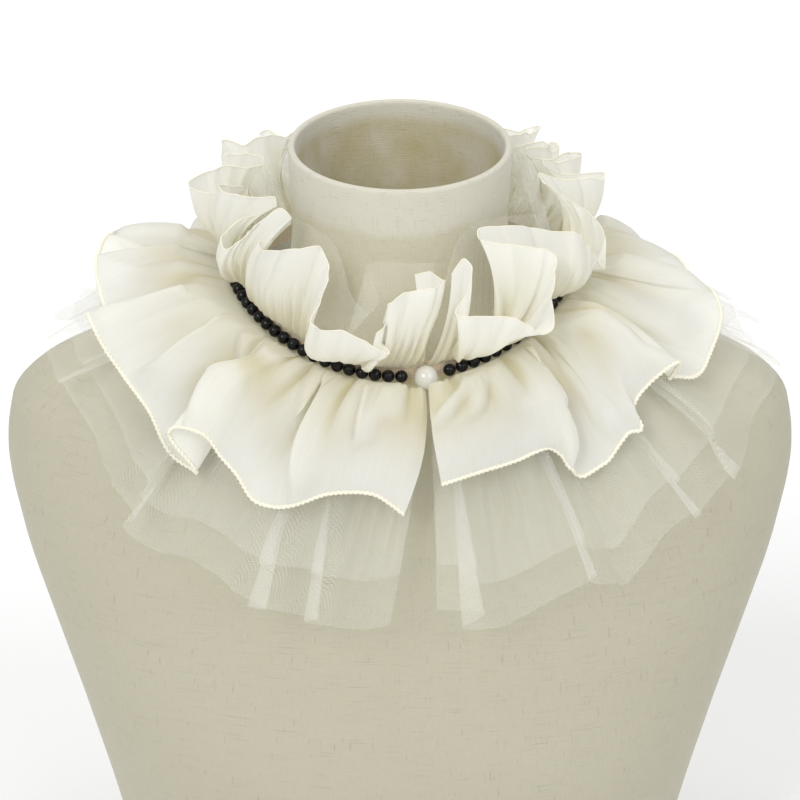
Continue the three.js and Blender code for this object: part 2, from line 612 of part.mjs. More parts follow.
// ---------------------------------------------------------------- the collar on its form
const collar = new THREE.Group();
collar.add(
  dressForm(),
  neckBand(),
  beadString(),
  pearl(),
  netFrill("net_frill_long", longLift, true),
  netFrill("net_frill_short", shortLift, false),
  gatheredFrill("chiffon_frill_falling", gather(cornersOf(FALL_FOLDS, () => 0)), {
    rows: [0, 0.18, 0.42, 0.7, 1],
    start: (angle) => offBand(angle, SEWN_OUT, -SEAM_UP),
    width: FALL_WIDTH,
    belly: () => 0.45,
    most: 26,
    colour: CREAM,
    rest: restOnNet,
  }),
  gatheredFrill("chiffon_frill_standing", gather(cornersOf(STAND_FOLDS, bandLevel)), {
    rows: [0, 0.3, 0.62, 1],
    start: (angle) => offBand(angle, SEWN_OUT, SEAM_UP),
    width: STAND_WIDTH,
    belly: (edge) => clamp((Math.hypot(edge.x, edge.y) - 62) / 40, 0.05, 0.6),
    most: 15,
    colour: CREAM,
    rest: restOnTrim,
  }),
  gatheredFrill("net_frill_standing", gather(cornersOf(netFolds(STAND_FOLDS), bandLevel)), {
    rows: [0, 0.45, 1],
    start: (angle) => offBand(angle, SEWN_OUT - NET_RISE, SEAM_UP),
    width: 0,
    belly: () => 0,
    most: 0,
    colour: NET,
  }),
);

export default collar;
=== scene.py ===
# Ruffled detachable collar of chiffon and net, buttoned round the neck of a linen-covered dress form.
# Metres, +Z up, the wearer's front faces -Y. Tables are in millimetres. Angles are in degrees round the
# neck, from the front towards +X.
import math

import bmesh
import bpy
import numpy as np
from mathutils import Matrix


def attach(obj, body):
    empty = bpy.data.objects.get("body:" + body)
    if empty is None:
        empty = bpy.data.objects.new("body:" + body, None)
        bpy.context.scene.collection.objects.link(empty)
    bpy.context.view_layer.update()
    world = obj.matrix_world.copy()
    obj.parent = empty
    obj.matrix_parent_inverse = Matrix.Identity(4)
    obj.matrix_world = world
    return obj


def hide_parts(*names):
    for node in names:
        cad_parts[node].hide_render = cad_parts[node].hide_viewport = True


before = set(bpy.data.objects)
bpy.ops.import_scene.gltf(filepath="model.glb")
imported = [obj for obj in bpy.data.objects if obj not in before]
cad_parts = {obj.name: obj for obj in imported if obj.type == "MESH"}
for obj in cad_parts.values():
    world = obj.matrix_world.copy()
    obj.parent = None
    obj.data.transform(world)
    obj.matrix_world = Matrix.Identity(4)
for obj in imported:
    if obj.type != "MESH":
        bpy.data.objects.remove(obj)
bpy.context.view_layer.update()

# ---------------------------------------------------------------- camera, floor and light
# The collar is seen from in front and a little above, on a plain white floor under large soft lamps.
MM = 0.001
CAMERA_AT = (0.0, -1.32875, 0.88764)
CAMERA_DOWN = 24
CAMERA_LENS = 132.3

lens = bpy.data.cameras.new("camera")
lens.lens = CAMERA_LENS
lens.sensor_width = 36
camera = bpy.data.objects.new("camera", lens)
camera.location = CAMERA_AT
camera.rotation_euler = (math.radians(90 - CAMERA_DOWN), 0, 0)
bpy.context.collection.objects.link(camera)
bpy.context.scene.camera = camera
bpy.context.scene.view_settings.view_transform = "Standard"


class Value:
    """A socket that adds Math nodes when it is used in an expression."""

    def __init__(self, finish, socket):
        self.finish, self.socket = finish, socket

    def math(self, operation, *values):
        inputs = dict(enumerate(values))
        return self.finish.add("ShaderNodeMath", {"operation": operation}, inputs).value()

    def __add__(self, other):
        return self.math("ADD", self, other)

    __radd__ = __add__

    def __sub__(self, other):
        return self.math("SUBTRACT", self, other)

    def __rsub__(self, other):
        return self.math("SUBTRACT", other, self)

    def __mul__(self, other):
        return self.math("MULTIPLY", self, other)

    __rmul__ = __mul__

    def __truediv__(self, other):
        return self.math("DIVIDE", self, other)

    def __pow__(self, other):
        return self.math("POWER", self, other)

    def absolute(self):
        return self.math("ABSOLUTE", self)

    def fraction(self):
        return self.math("FRACT", self)

    def least(self, other):
        return self.math("MINIMUM", self, other)

    def most(self, other):
        return self.math("MAXIMUM", self, other)


class Made:
    """A shader node, and its sockets as values."""

    def __init__(self, finish, node):
        self.finish, self.node = finish, node

    def value(self, name=0):
        return Value(self.finish, self.node.outputs[name])


class Finish:
    """A material that is put together from nodes."""

    def __init__(self, name):
        self.material = bpy.data.materials.new(name)
        self.material.use_nodes = True
        self.tree = self.material.node_tree
        self.tree.nodes.clear()

    def add(self, kind, settings=None, inputs=None):
        node = self.tree.nodes.new(kind)
        for name, value in (settings or {}).items():
            if name == "stops":
                self._stops(node.color_ramp, value)
            else:
                setattr(node, name, value)
        for name, value in (inputs or {}).items():
            if isinstance(value, Value):
                self.tree.links.new(value.socket, node.inputs[name])
            else:
                node.inputs[name].default_value = value
        return Made(self, node)

    def _stops(self, ramp, stops):
        while len(ramp.elements) < len(stops):
            ramp.elements.new(0.5)
        for element, (place, colour) in zip(ramp.elements, stops):
            element.position = place
            element.color = (*colour, 1)

    def done(self, shader):
        self.add("ShaderNodeOutputMaterial", inputs={"Surface": shader})
        return self.material


def piece_from(shape, name, material, smooth=True):
    """A new object with the shape of a bmesh or a mesh."""
    mesh = shape
    if isinstance(shape, bmesh.types.BMesh):
        mesh = bpy.data.meshes.new(name)
        shape.to_mesh(mesh)
        shape.free()
    mesh.name = name
    mesh.materials.append(material)
    mesh.polygons.foreach_set("use_smooth", [smooth] * len(mesh.polygons))
    piece = bpy.data.objects.new(name, mesh)
    bpy.context.collection.objects.link(piece)
    return piece


FLOOR_WHITE = (0.94, 0.94, 0.94, 1)
paper = Finish("studio_paper")
paper_grain = paper.add("ShaderNodeTexNoise", inputs={"Scale": 3.0, "Detail": 2.0}).value("Fac")
paper_shader = paper.add(
    "ShaderNodeBsdfPrincipled",
    inputs={"Base Color": FLOOR_WHITE, "Roughness": paper_grain * 0.1 + 0.8},
)
paper_look = paper.done(paper_shader.value("BSDF"))
floor_shape = bmesh.new()
bmesh.ops.create_grid(floor_shape, x_segments=1, y_segments=1, size=6)
floor = piece_from(floor_shape, "floor", paper_look, smooth=False)

# Each lamp: where its light comes from, its strength, and how wide its disc looks in degrees.
LAMPS = {
    "left": ((-0.8, -1.0, 1.05), 1.05, 30),
    "right": ((0.85, -1.0, 1.0), 0.8, 40),
    "top": ((0.1, 0.3, 1.5), 0.85, 60),
    "spark": ((-0.6, -1.2, 0.8), 0.24, 2.5),
}
for name, (place, strength, width) in LAMPS.items():
    lamp = bpy.data.lights.new(name, "SUN")
    lamp.angle = math.radians(width)
    lamp.energy = strength
    stand = bpy.data.objects.new(name, lamp)
    stand.location = place
    stand.rotation_euler = (math.atan2(math.hypot(place[0], place[1]), place[2]), 0, math.atan2(place[0], -place[1]))
    bpy.context.collection.objects.link(stand)
sky = bpy.data.worlds.new("studio")
sky.use_nodes = True
sky.node_tree.nodes["Background"].inputs["Color"].default_value = (1, 1, 1, 1)
sky.node_tree.nodes["Background"].inputs["Strength"].default_value = 0.5
bpy.context.scene.world = sky


# ---------------------------------------------------------------- dress form
# A limbless form of foam under plain linen, open at the neck. The linen is turned over the neck's rim, and
# the form stands on its flat base.
FORM_HEIGHT = 430
RIM_TILT = 5.3
NECK_TALL = 56
SHELL = 3.4
WELL_DEPTH = 150
WELL_TAPER = 2
WELL_FLOOR = 45
LIP = 1.6
FORM_SECTIONS = [
    dict(drop=0, half_width=53.5, front=53.5, back=53.5, exponent=2.0),
    dict(drop=12, half_width=53, front=53, back=53, exponent=2.0),
    dict(drop=42, half_width=52, front=52.5, back=53, exponent=2.0),
    dict(drop=58, half_width=53.5, front=54.5, back=55, exponent=2.0),
    dict(drop=67, half_width=57.5, front=56.5, back=58, exponent=2.0),
    dict(drop=75, half_width=68, front=59, back=63, exponent=2.0),
    dict(drop=82, half_width=88, front=62, back=69, exponent=2.0),
    dict(drop=90, half_width=113, front=66, back=76, exponent=2.0),
    dict(drop=99, half_width=140, front=70, back=82, exponent=2.0),
    dict(drop=108, half_width=164, front=75, back=87, exponent=2.0),
    dict(drop=117, half_width=181, front=80, back=91, exponent=2.05),
    dict(drop=129, half_width=191, front=87, back=95, exponent=2.15),
    dict(drop=152, half_width=194, front=95, back=100, exponent=2.25),
    dict(drop=190, half_width=188, front=107, back=104, exponent=2.35),
    dict(drop=235, half_width=175, front=118, back=103, exponent=2.4),
    dict(drop=285, half_width=160, front=125, back=98, exponent=2.4),
    dict(drop=335, half_width=148, front=114, back=92, exponent=2.35),
    dict(drop=385, half_width=138, front=101, back=87, exponent=2.3),
    dict(drop=430, half_width=131, front=96, back=85, exponent=2.3),
]


def lerp(a, b, t):
    return a + (b - a) * t


def smooth(t):
    t = np.clip(t, 0, 1)
    return t * t * (3 - 2 * t)


def around(angle, radius, z):
    """Points at an angle, a distance from the neck's axis and a height."""
    a = np.radians(angle)
    return np.stack(np.broadcast_arrays(radius * np.sin(a), -radius * np.cos(a), z), -1)


def drop_table(column):
    """A column of the form's sections, smooth from each to the next and never past it."""
    at = np.array([row["drop"] for row in FORM_SECTIONS], float)
    value = np.array([row[column] for row in FORM_SECTIONS], float)
    step, rise = np.diff(at), np.diff(value)
    slope = rise / step
    lean = np.zeros(len(at))
    same_way = slope[1:] * slope[:-1] > 0
    lean[1:-1][same_way] = 2 * slope[1:][same_way] * slope[:-1][same_way] / (slope[1:] + slope[:-1])[same_way]
    lean[0], lean[-1] = slope[0], slope[-1]

    def read(drop):
        i = np.clip(np.searchsorted(at, drop, side="right") - 1, 0, len(step) - 1)
        t = np.clip((drop - at[i]) / step[i], 0, 1)
        t2, t3 = t * t, t * t * t
        kept = (2 * t3 - 3 * t2 + 1) * value[i] + (3 * t2 - 2 * t3) * value[i + 1]
        return kept + step[i] * ((t3 - 2 * t2 + t) * lean[i] + (t3 - t2) * lean[i + 1])

    return read


form_half_width, form_front = drop_table("half_width"), drop_table("front")
form_back, form_exponent = drop_table("back"), drop_table("exponent")


def form_radius(drop, angle):
    """Distance from the form's axis to its skin."""
    forward = np.cos(np.radians(angle))
    across = np.abs(np.sin(np.radians(angle))) / form_half_width(drop)
    through = np.abs(forward) / np.where(forward > 0, form_front(drop), form_back(drop))
    n = form_exponent(drop)
    return (across**n + through**n) ** (-1 / n)


MAP_ANGLE = 0.5
MAP_RADIUS = 1.0
MAP_FROM, MAP_TO = 50, 215


def mapped(height):
    """A height worked out once on a grid of angles and radii, then read between them."""
    angles = np.arange(0, 360 + MAP_ANGLE, MAP_ANGLE)
    radii = np.arange(MAP_FROM, MAP_TO + MAP_RADIUS, MAP_RADIUS)
    known = height(*np.meshgrid(angles, radii, indexing="ij"))

    def read(angle, radius):
        i = np.mod(angle, 360) / MAP_ANGLE
        j = np.clip((radius - MAP_FROM) / MAP_RADIUS, 0, len(radii) - 1.001)
        i0, j0 = np.floor(i).astype(int), np.floor(j).astype(int)
        i, j = i - i0, j - j0
        near = lerp(known[i0, j0], known[i0, j0 + 1], j)
        return lerp(near, lerp(known[i0 + 1, j0], known[i0 + 1, j0 + 1], j), i)

    return read


def find_form_top(angle, radius):
    """Height of the form's skin straight below a place."""
    low, high = np.zeros_like(radius), np.full_like(radius, 200.0)
    for _ in range(20):
        middle = (low + high) / 2
        inside = form_radius(middle, angle) < radius
        low, high = np.where(inside, middle, low), np.where(inside, high, middle)
    return FORM_HEIGHT - high


form_top = mapped(find_form_top)


def grid_shape(points, flat, depth=None):
    """A grid moved to points[row, column], with its cloth's own lengths as its UV map.

    A painted shade for each point, if given as depth, is kept as the U of a second UV map named depth.
    """
    rows, columns = points.shape[:2]
    bm = bmesh.new()
    bmesh.ops.create_grid(bm, x_segments=columns - 1, y_segments=rows - 1, size=1)
    mesh = bpy.data.meshes.new("grid")
    bm.to_mesh(mesh)
    bm.free()
    mesh.vertices.foreach_set("co", (points * MM).ravel())
    corner = np.zeros(len(mesh.loops), int)
    mesh.loops.foreach_get("vertex_index", corner)
    mesh.uv_layers.new(name="cut").data.foreach_set("uv", (flat.reshape(-1, 2)[corner] * MM).ravel())
    if depth is not None:
        # The second UV map carries painted shade for the chiffon's gathers.
        shade_uv = np.stack([depth, depth * 0], -1).reshape(-1, 2)[corner]
        mesh.uv_layers.new(name="depth").data.foreach_set("uv", shade_uv.ravel())
    mesh.update()
    return mesh


def joined(mesh, gap, sides=0):
    """A bmesh of a grid whose edges meet, merged there. Open ends of so many sides are filled."""
    bm = bmesh.new()
    bm.from_mesh(mesh)
    bpy.data.meshes.remove(mesh)
    bmesh.ops.remove_doubles(bm, verts=bm.verts, dist=gap)
    if sides:
        ends = [edge for edge in bm.edges if edge.is_boundary]
        bmesh.ops.holes_fill(bm, edges=ends, sides=sides)
    bmesh.ops.recalc_face_normals(bm, faces=bm.faces)
    return bm


def form_shape():
    sides = 192
    angle = np.linspace(0, 360, sides + 1)[None, :]
    tilt = math.tan(math.radians(RIM_TILT))

    def ring(drop, inset):
        """Rings of the form at drops below the rim, and insets from its skin."""
        drop, inset = np.array(drop, float)[:, None], np.array(inset, float)[:, None]
        radius = form_radius(np.maximum(drop, 0), angle) - inset
        ring_points = around(angle, radius, FORM_HEIGHT - drop)
        ring_points[..., 2] += ring_points[..., 1] * tilt * smooth(1 - drop / NECK_TALL)
        return ring_points

    turns = np.linspace(0, math.pi, 9)
    outside = np.concatenate([np.linspace(430, 160, 60), np.linspace(157, 56, 50), np.linspace(54, 2.2, 20)])
    inside = np.linspace(3, NECK_TALL, 16)
    skin = ring(outside, outside * 0)
    lip = ring(LIP - LIP * np.sin(turns), SHELL / 2 - SHELL / 2 * np.cos(turns))
    well = ring(inside, SHELL + WELL_TAPER * inside / NECK_TALL)
    low = np.linspace(0.1, 1, 16)[:, None]
    last = np.hypot(well[-1, :, 0], well[-1, :, 1])[None, :]
    taper = around(angle, lerp(last, WELL_FLOOR, low), lerp(FORM_HEIGHT - NECK_TALL, FORM_HEIGHT - WELL_DEPTH, low))
    disc = np.linspace(0.8, 0, 5)[:, None, None]
    bottom = skin[:1] * np.linspace(0, 0.8, 5)[:, None, None]
    bottom[..., 2] = 0
    floor_disc = taper[-1:] * disc
    floor_disc[..., 2] = FORM_HEIGHT - WELL_DEPTH
    points = np.concatenate([bottom, skin, lip, well, taper, floor_disc])
    length = np.concatenate([[0], np.cumsum(np.linalg.norm(np.diff(points[:, 0], axis=0), axis=1))])
    flat = np.stack(np.broadcast_arrays(np.radians(angle) * 60, length[:, None]), -1)
    return grid_shape(points, flat)


LINEN_PALE = (0.62, 0.595, 0.465)
LINEN_DEEP = (0.50, 0.47, 0.345)
LINEN_FLECK = (0.29, 0.26, 0.19)
# Painted light and shade on the linen: darker below the neck (painted shade), a lighter, greyer band round the top
# of the neck (painted light), and darker inside the rim (painted shade over its own mottle).
SHADED_BODY_LINEN = (0.40, 0.38, 0.29)
LIT_NECK_LINEN = (0.64, 0.62, 0.535)
WELL_LINEN_AND_SHADE = (0.47, 0.41, 0.23)
# Distances along the linen from the middle of the base to where the neck starts, to where the painted lighter band
# round its top starts, and to the inside of its rim.
NECK_FROM = 0.44
NECK_LIGHT_FROM = 0.514
WELL_FROM = 0.5445
linen = Finish("linen")
linen_map = linen.add("ShaderNodeUVMap", {"uv_map": "cut"}).value("UV")


def linen_threads(along, across, detail):
    """Noise drawn out along the threads that run one way."""
    stretched = linen.add("ShaderNodeMapping", inputs={"Vector": linen_map, "Scale": (along, across, 1)}).value()
    return linen.add("ShaderNodeTexNoise", inputs={"Vector": stretched, "Scale": 1.0, "Detail": detail}).value("Fac")


weft = linen_threads(160, 2200, 2.0)
warp = linen_threads(2200, 160, 2.0)
slub = (linen_threads(110, 1700, 1.0) - 0.645).most(0) * 3
slub_up = (linen_threads(1700, 120, 1.0) - 0.645).most(0) * 3
cloudy = linen.add("ShaderNodeTexNoise", inputs={"Vector": linen_map, "Scale": 22.0, "Detail": 4.0}).value("Fac")
linen_tone = linen.add(
    "ShaderNodeMix",
    {"data_type": "RGBA"},
    {"Factor": cloudy * 0.6 + (weft + warp) * 0.7 - 0.55, "A": (*LINEN_DEEP, 1), "B": (*LINEN_PALE, 1)},
).value("Result")
linen_up = linen.add("ShaderNodeSeparateXYZ", inputs={"Vector": linen_map}).value("Y")
blotchy = linen.add("ShaderNodeTexNoise", inputs={"Vector": linen_map, "Scale": 40.0, "Detail": 3.0}).value("Fac")
# Painted shade: the linen darkens below the neck.
linen_with_body_shade = linen.add(
    "ShaderNodeMix",
    {"data_type": "RGBA", "clamp_factor": True},
    {"Factor": ((NECK_FROM - linen_up) * 30).most(0).least(0.65), "A": linen_tone, "B": (*SHADED_BODY_LINEN, 1)},
).value("Result")
# Painted light: a lighter band round the top of the neck, with a mottled lower edge.
linen_with_neck_light = linen.add(
    "ShaderNodeMix",
    {"data_type": "RGBA", "clamp_factor": True},
    {
        "Factor": ((linen_up - NECK_LIGHT_FROM) * 160 + (blotchy - 0.4) * 2).most(0).least(0.75),
        "A": linen_with_body_shade,
        "B": (*LIT_NECK_LINEN, 1),
    },
).value("Result")
# Inside the rim: painted shade of the hollow, mottled like a crumpled lining.
linen_with_well_mottle_and_shade = linen.add(
    "ShaderNodeMix",
    {"data_type": "RGBA", "clamp_factor": True},
    {
        "Factor": ((linen_up - WELL_FROM) * 200).most(0).least(1) * (blotchy * 2.2 - 0.45).most(0.15).least(1),
        "A": linen_with_neck_light,
        "B": (*WELL_LINEN_AND_SHADE, 1),
    },
).value("Result")
linen_colour = linen.add(
    "ShaderNodeMix",
    {"data_type": "RGBA", "clamp_factor": True},
    {"Factor": (slub + slub_up).least(0.4), "A": linen_with_well_mottle_and_shade, "B": (*LINEN_FLECK, 1)},
).value("Result")
linen_bump = linen.add(
    "ShaderNodeBump", inputs={"Height": weft + warp + slub, "Strength": 0.5, "Distance": 0.0004}
).value("Normal")
linen_shader = linen.add(
    "ShaderNodeBsdfPrincipled",
    inputs={"Base Color": linen_colour, "Roughness": 0.9, "Normal": linen_bump, "Sheen Weight": 0.15},
)
linen_look = linen.done(linen_shader.value("BSDF"))

MERGED = 0.00002
form = piece_from(joined(form_shape(), MERGED), "linen_form", linen_look)
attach(form, "root")
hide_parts("dress_form")


# ---------------------------------------------------------------- neck band
# A narrow beige ribbon round the root of the neck, which the frills are sewn to. Its ends meet at the front.
CLOTH = 1.0
SEAM = 0.35
BAND_HALF_WIDTH = 77
BAND_FRONT = 76
BAND_BACK = 63
BAND_TALL = 10
BAND_LEVEL = 367
BAND_FRONT_DROP = 23.5
BAND_BACK_RISE = 5
OPENING = 8.5
OPENING_GAP = 0.8
SEAM_UP = BAND_TALL / 2 + SEAM + CLOTH / 2
SEWN_OUT = 0.4
SEWN_UP = 2.6
SEWN_ON = 0.9


def band_radius(angle):
    forward = np.cos(np.radians(angle))
    depth = np.where(forward > 0, BAND_FRONT, BAND_BACK)
    return 1 / np.hypot(np.sin(np.radians(angle)) / BAND_HALF_WIDTH, forward / depth)


def band_level(angle):
    forward = np.cos(np.radians(angle))
    return BAND_LEVEL + np.where(forward > 0, -BAND_FRONT_DROP, BAND_BACK_RISE) * forward**2


def off_band(angle, out, up):
    return around(angle, band_radius(angle) + out, band_level(angle) + up)


def band_shape():
    angle = OPENING + np.linspace(OPENING_GAP / 2, 360 - OPENING_GAP / 2, 241)[None, :]
    section = np.array([(-1, -1), (-1, 1), (1, 1), (1, -1), (-1, -1)], float)
    out, up = section[:, :1] * CLOTH / 2, section[:, 1:] * BAND_TALL / 2
    points = off_band(angle, out, up)
    flat = np.stack(np.broadcast_arrays(np.radians(angle) * 75, up), -1)
    return joined(grid_shape(points, flat), MERGED, sides=4)


ribbon = Finish("ribbon")
ribbon_map = ribbon.add("ShaderNodeUVMap", {"uv_map": "cut"}).value("UV")
ribs = ribbon.add(
    "ShaderNodeTexWave",
    {"wave_type": "BANDS", "bands_direction": "X"},
    {"Vector": ribbon_map, "Scale": 320.0, "Distortion": 0.6, "Detail": 1.0},
).value("Fac")
ribbon_colour = ribbon.add(
    "ShaderNodeMix",
    {"data_type": "RGBA"},
    {"Factor": ribs, "A": (0.60, 0.48, 0.34, 1), "B": (0.74, 0.62, 0.47, 1)},
).value("Result")
ribbon_bump = ribbon.add(
    "ShaderNodeBump", inputs={"Height": ribs, "Strength": 0.3, "Distance": 0.0003}
).value("Normal")
ribbon_look = ribbon.done(
    ribbon.add(
        "ShaderNodeBsdfPrincipled",
        inputs={"Base Color": ribbon_colour, "Roughness": 0.55, "Normal": ribbon_bump},
    ).value("BSDF")
)
band = piece_from(band_shape(), "ribbon_band", ribbon_look, smooth=False)
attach(band, "root")
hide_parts("neck_band")

# ---------------------------------------------------------------- beads
# Round black glass beads on a thread, tacked to the band. The string stops a little to each side of the pearl.
BEAD = 6.0
BEAD_PITCH = 6.1
BEADS_FROM = OPENING + 6.0
BEADS_TO = OPENING + 354.2


def bead_places():
    """Middles of the beads, at equal distances along the band."""
    out = CLOTH / 2 + SEAM + BEAD / 2
    line = off_band(np.linspace(BEADS_FROM, BEADS_TO, 3000), out, 0.0)
    walked = np.concatenate([[0], np.cumsum(np.linalg.norm(np.diff(line, axis=0), axis=1))])
    count = int(walked[-1] // BEAD_PITCH)
    wanted = (np.arange(count) + 0.5) * walked[-1] / count
    return np.stack([np.interp(wanted, walked, line[:, k]) for k in range(3)], -1)


jet = Finish("black_glass")
jet_cloud = jet.add("ShaderNodeTexNoise", inputs={"Scale": 900.0, "Detail": 2.0}).value("Fac")
jet_look = jet.done(
    jet.add(
        "ShaderNodeBsdfPrincipled",
        inputs={
            "Base Color": (0.004, 0.004, 0.005, 1),
            "Roughness": jet_cloud * 0.08 + 0.08,
            "Specular IOR Level": 0.28,
        },
    ).value("BSDF")
)
string_shape = bmesh.new()
for number, place in enumerate(bead_places()):
    made = bmesh.ops.create_uvsphere(string_shape, u_segments=20, v_segments=12, radius=BEAD / 2 * MM)
    bmesh.ops.translate(string_shape, verts=made["verts"], vec=place * MM)
beads = piece_from(string_shape, "black_beads", jet_look)
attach(beads, "root")
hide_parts("bead_string")

# ---------------------------------------------------------------- pearl button
# One round pearl at the opening, sewn to one end of the band; the other end has its loop behind it.
PEARL = 11.4
PEARL_DROP = 0.3

pearl = Finish("pearl")
pearl_cloud = pearl.add("ShaderNodeTexNoise", inputs={"Scale": 260.0, "Detail": 2.0}).value("Fac")
pearl_colour = pearl.add(
    "ShaderNodeMix",
    {"data_type": "RGBA"},
    {"Factor": pearl_cloud, "A": (0.56, 0.54, 0.47, 1), "B": (0.68, 0.67, 0.62, 1)},
).value("Result")
pearl_look = pearl.done(
    pearl.add(
        "ShaderNodeBsdfPrincipled",
        inputs={"Base Color": pearl_colour, "Roughness": 0.22, "Coat Weight": 0.7, "Coat Roughness": 0.08},
    ).value("BSDF")
)
pearl_shape = bmesh.new()
bmesh.ops.create_uvsphere(pearl_shape, u_segments=48, v_segments=28, radius=PEARL / 2 * MM)
pearl_place = off_band(np.array(OPENING), CLOTH / 2 + SEAM + PEARL / 2, -PEARL_DROP)
bmesh.ops.translate(pearl_shape, verts=pearl_shape.verts, vec=pearl_place * MM)
button = piece_from(pearl_shape, "pearl", pearl_look)
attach(button, "root")
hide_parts("pearl_button")

# ---------------------------------------------------------------- falling net frills
# Two straight strips of fine net, gathered together under the band. The upper one is shorter. Both fall in
# narrow pleats that fold over at the hem, and their edges are cut raw.
FALL = [
    dict(angle=8, hem=131, level=248, arch=4, reach=0.80),
    dict(angle=20, hem=135, level=238, arch=4, reach=0.82),
    dict(angle=38, hem=147, level=262, arch=4, reach=0.84),
    dict(angle=58, hem=163, level=279, arch=5, reach=0.84),
    dict(angle=72, hem=172, level=294, arch=7, reach=0.84),
    dict(angle=90, hem=184, level=314, arch=9, reach=0.84),
    dict(angle=120, hem=178, level=310, arch=10, reach=0.84),
    dict(angle=150, hem=160, level=300, arch=8, reach=0.84),
    dict(angle=180, hem=150, level=296, arch=6, reach=0.84),
    dict(angle=210, hem=158, level=300, arch=8, reach=0.84),
    dict(angle=240, hem=172, level=310, arch=10, reach=0.84),
    dict(angle=270, hem=174, level=322, arch=8, reach=0.84),
    dict(angle=286, hem=160, level=304, arch=6, reach=0.84),
    dict(angle=298, hem=155, level=289, arch=5, reach=0.84),
    dict(angle=312, hem=150, level=270, arch=4, reach=0.84),
    dict(angle=334, hem=138, level=250, arch=4, reach=0.82),
    dict(angle=352, hem=132, level=238, arch=4, reach=0.80),
]
# Each pleat: where it is, how high it stands at the hem, its half width, and how far it folds over.
NET_PLEATS = [
    dict(angle=14, height=9, spread=5.4, over=4.6),
    dict(angle=36, height=8, spread=5.4, over=3.7),
    dict(angle=56, height=9, spread=4.1, over=3.3),
    dict(angle=66, height=9, spread=5.4, over=4.6),
    dict(angle=86, height=8, spread=5.4, over=3.8),
    dict(angle=104, height=8, spread=5.4, over=2.7),
    dict(angle=124, height=7, spread=5.4, over=2.7),
    dict(angle=146, height=8, spread=5.4, over=2.7),
    dict(angle=168, height=7, spread=5.4, over=2.7),
    dict(angle=190, height=8, spread=5.4, over=2.7),
    dict(angle=212, height=7, spread=5.4, over=2.7),
    dict(angle=234, height=8, spread=5.4, over=2.7),
    dict(angle=256, height=7, spread=5.4, over=2.7),
    dict(angle=274, height=7, spread=5.4, over=2.7),
    dict(angle=284, height=9, spread=5.4, over=4.1),
    dict(angle=307, height=10, spread=5.4, over=4.7),
    dict(angle=333, height=10, spread=5.4, over=4.6),
    dict(angle=343, height=8, spread=4.1, over=3.3),
]
CLEARANCE = 3.4
NET_RISE = CLOTH + SEAM
NET_APART = 3.5
PLEAT_GROWTH = 2.0
# Where the chiffon's hollows press the nets down: the angle, how deep, and the half width.
NET_DIPS = [
    dict(angle=44, depth=17, half=9),
    dict(angle=57, depth=5, half=5),
    dict(angle=69, depth=6, half=6),
    dict(angle=96, depth=11, half=9),
    dict(angle=118, depth=22, half=9),
    dict(angle=139, depth=27, half=9),
    dict(angle=160, depth=28, half=9),
    dict(angle=181, depth=28, half=9),
    dict(angle=202, depth=30, half=9),
    dict(angle=223, depth=29, half=9),
    dict(angle=244, depth=19, half=9),
    dict(angle=310, depth=9, half=9),
    dict(angle=332, depth=6, half=9),
]
NET_START = dict(seam=0.8, hem=-1.2)
NET_END = dict(seam=359.2, hem=349.5)


def round_table(rows, column):
    """A column of a table whose rows go once round the neck."""
    at = np.array([row["angle"] for row in rows], float)
    value = np.array([row[column] for row in rows], float)
    count = len(rows)

    def read(angle):
        past = np.mod(angle - at[0], 360)
        i = np.searchsorted(at - at[0], past, side="right") - 1
        here = at[i] - at[0]
        after = np.where(i + 1 < count, at[(i + 1) % count] - at[0], 360)
        t = (past - here) / (after - here)
        a, b, c, d = (value[(i + k) % count] for k in (-1, 0, 1, 2))
        t2, t3 = t * t, t * t * t
        kept = (2 * t3 - 3 * t2 + 1) * b + (3 * t2 - 2 * t3) * c
        return kept + (t3 - 2 * t2 + t) * (c - a) / 2 + (t3 - t2) * (d - b) / 2

    return read


fall_hem, fall_level = round_table(FALL, "hem"), round_table(FALL, "level")
fall_arch, short_reach = round_table(FALL, "arch"), round_table(FALL, "reach")


def bump(x):
    return np.where(np.abs(x) < 1, np.cos(np.clip(x, -1, 1) * math.pi / 2) ** 2, 0)


def centred(angle):
    return np.mod(angle + 180, 360) - 180


def pleats(angle):
    return np.max(
        [row["height"] * bump(centred(angle - row["angle"]) / (2 * row["spread"])) for row in NET_PLEATS], axis=0
    )


def dips(angle):
    return np.max([row["depth"] * bump(centred(angle - row["angle"]) / row["half"]) for row in NET_DIPS], axis=0)


def fall_angle(u, t):
    start = lerp(NET_START["seam"], NET_START["hem"], t)
    return OPENING + lerp(start, lerp(NET_END["seam"], NET_END["hem"], t), u)


def fall_base(angle, t):
    """A place on the surface that the net frills lie on, and the direction square to it."""
    start_r = band_radius(angle) + SEWN_OUT
    start_z = band_level(angle) - SEAM_UP - 2 * NET_RISE - SEAM / 2
    across, down = fall_hem(angle) - start_r, fall_level(angle) - start_z
    length = np.hypot(across, down)
    er, ez = across / length, down / length
    arch = 4 * t * (1 - t) * fall_arch(angle)
    slope = 4 * (1 - 2 * t) * fall_arch(angle) / length
    r = start_r + er * length * t - ez * arch
    free = start_z + ez * length * t + er * arch - dips(angle) * smooth(t / 0.5)
    z = np.maximum(free, form_top(angle, r) + CLEARANCE)
    tr, tz = er - ez * slope, ez + er * slope
    size = np.hypot(tr, tz)
    return r, z, -tz / size, tr / size


def long_lift(angle, t):
    return pleats(angle) * t**PLEAT_GROWTH


def short_lift(angle, t):
    return long_lift(angle, t) + lerp(NET_RISE, NET_APART, smooth(3 * t))


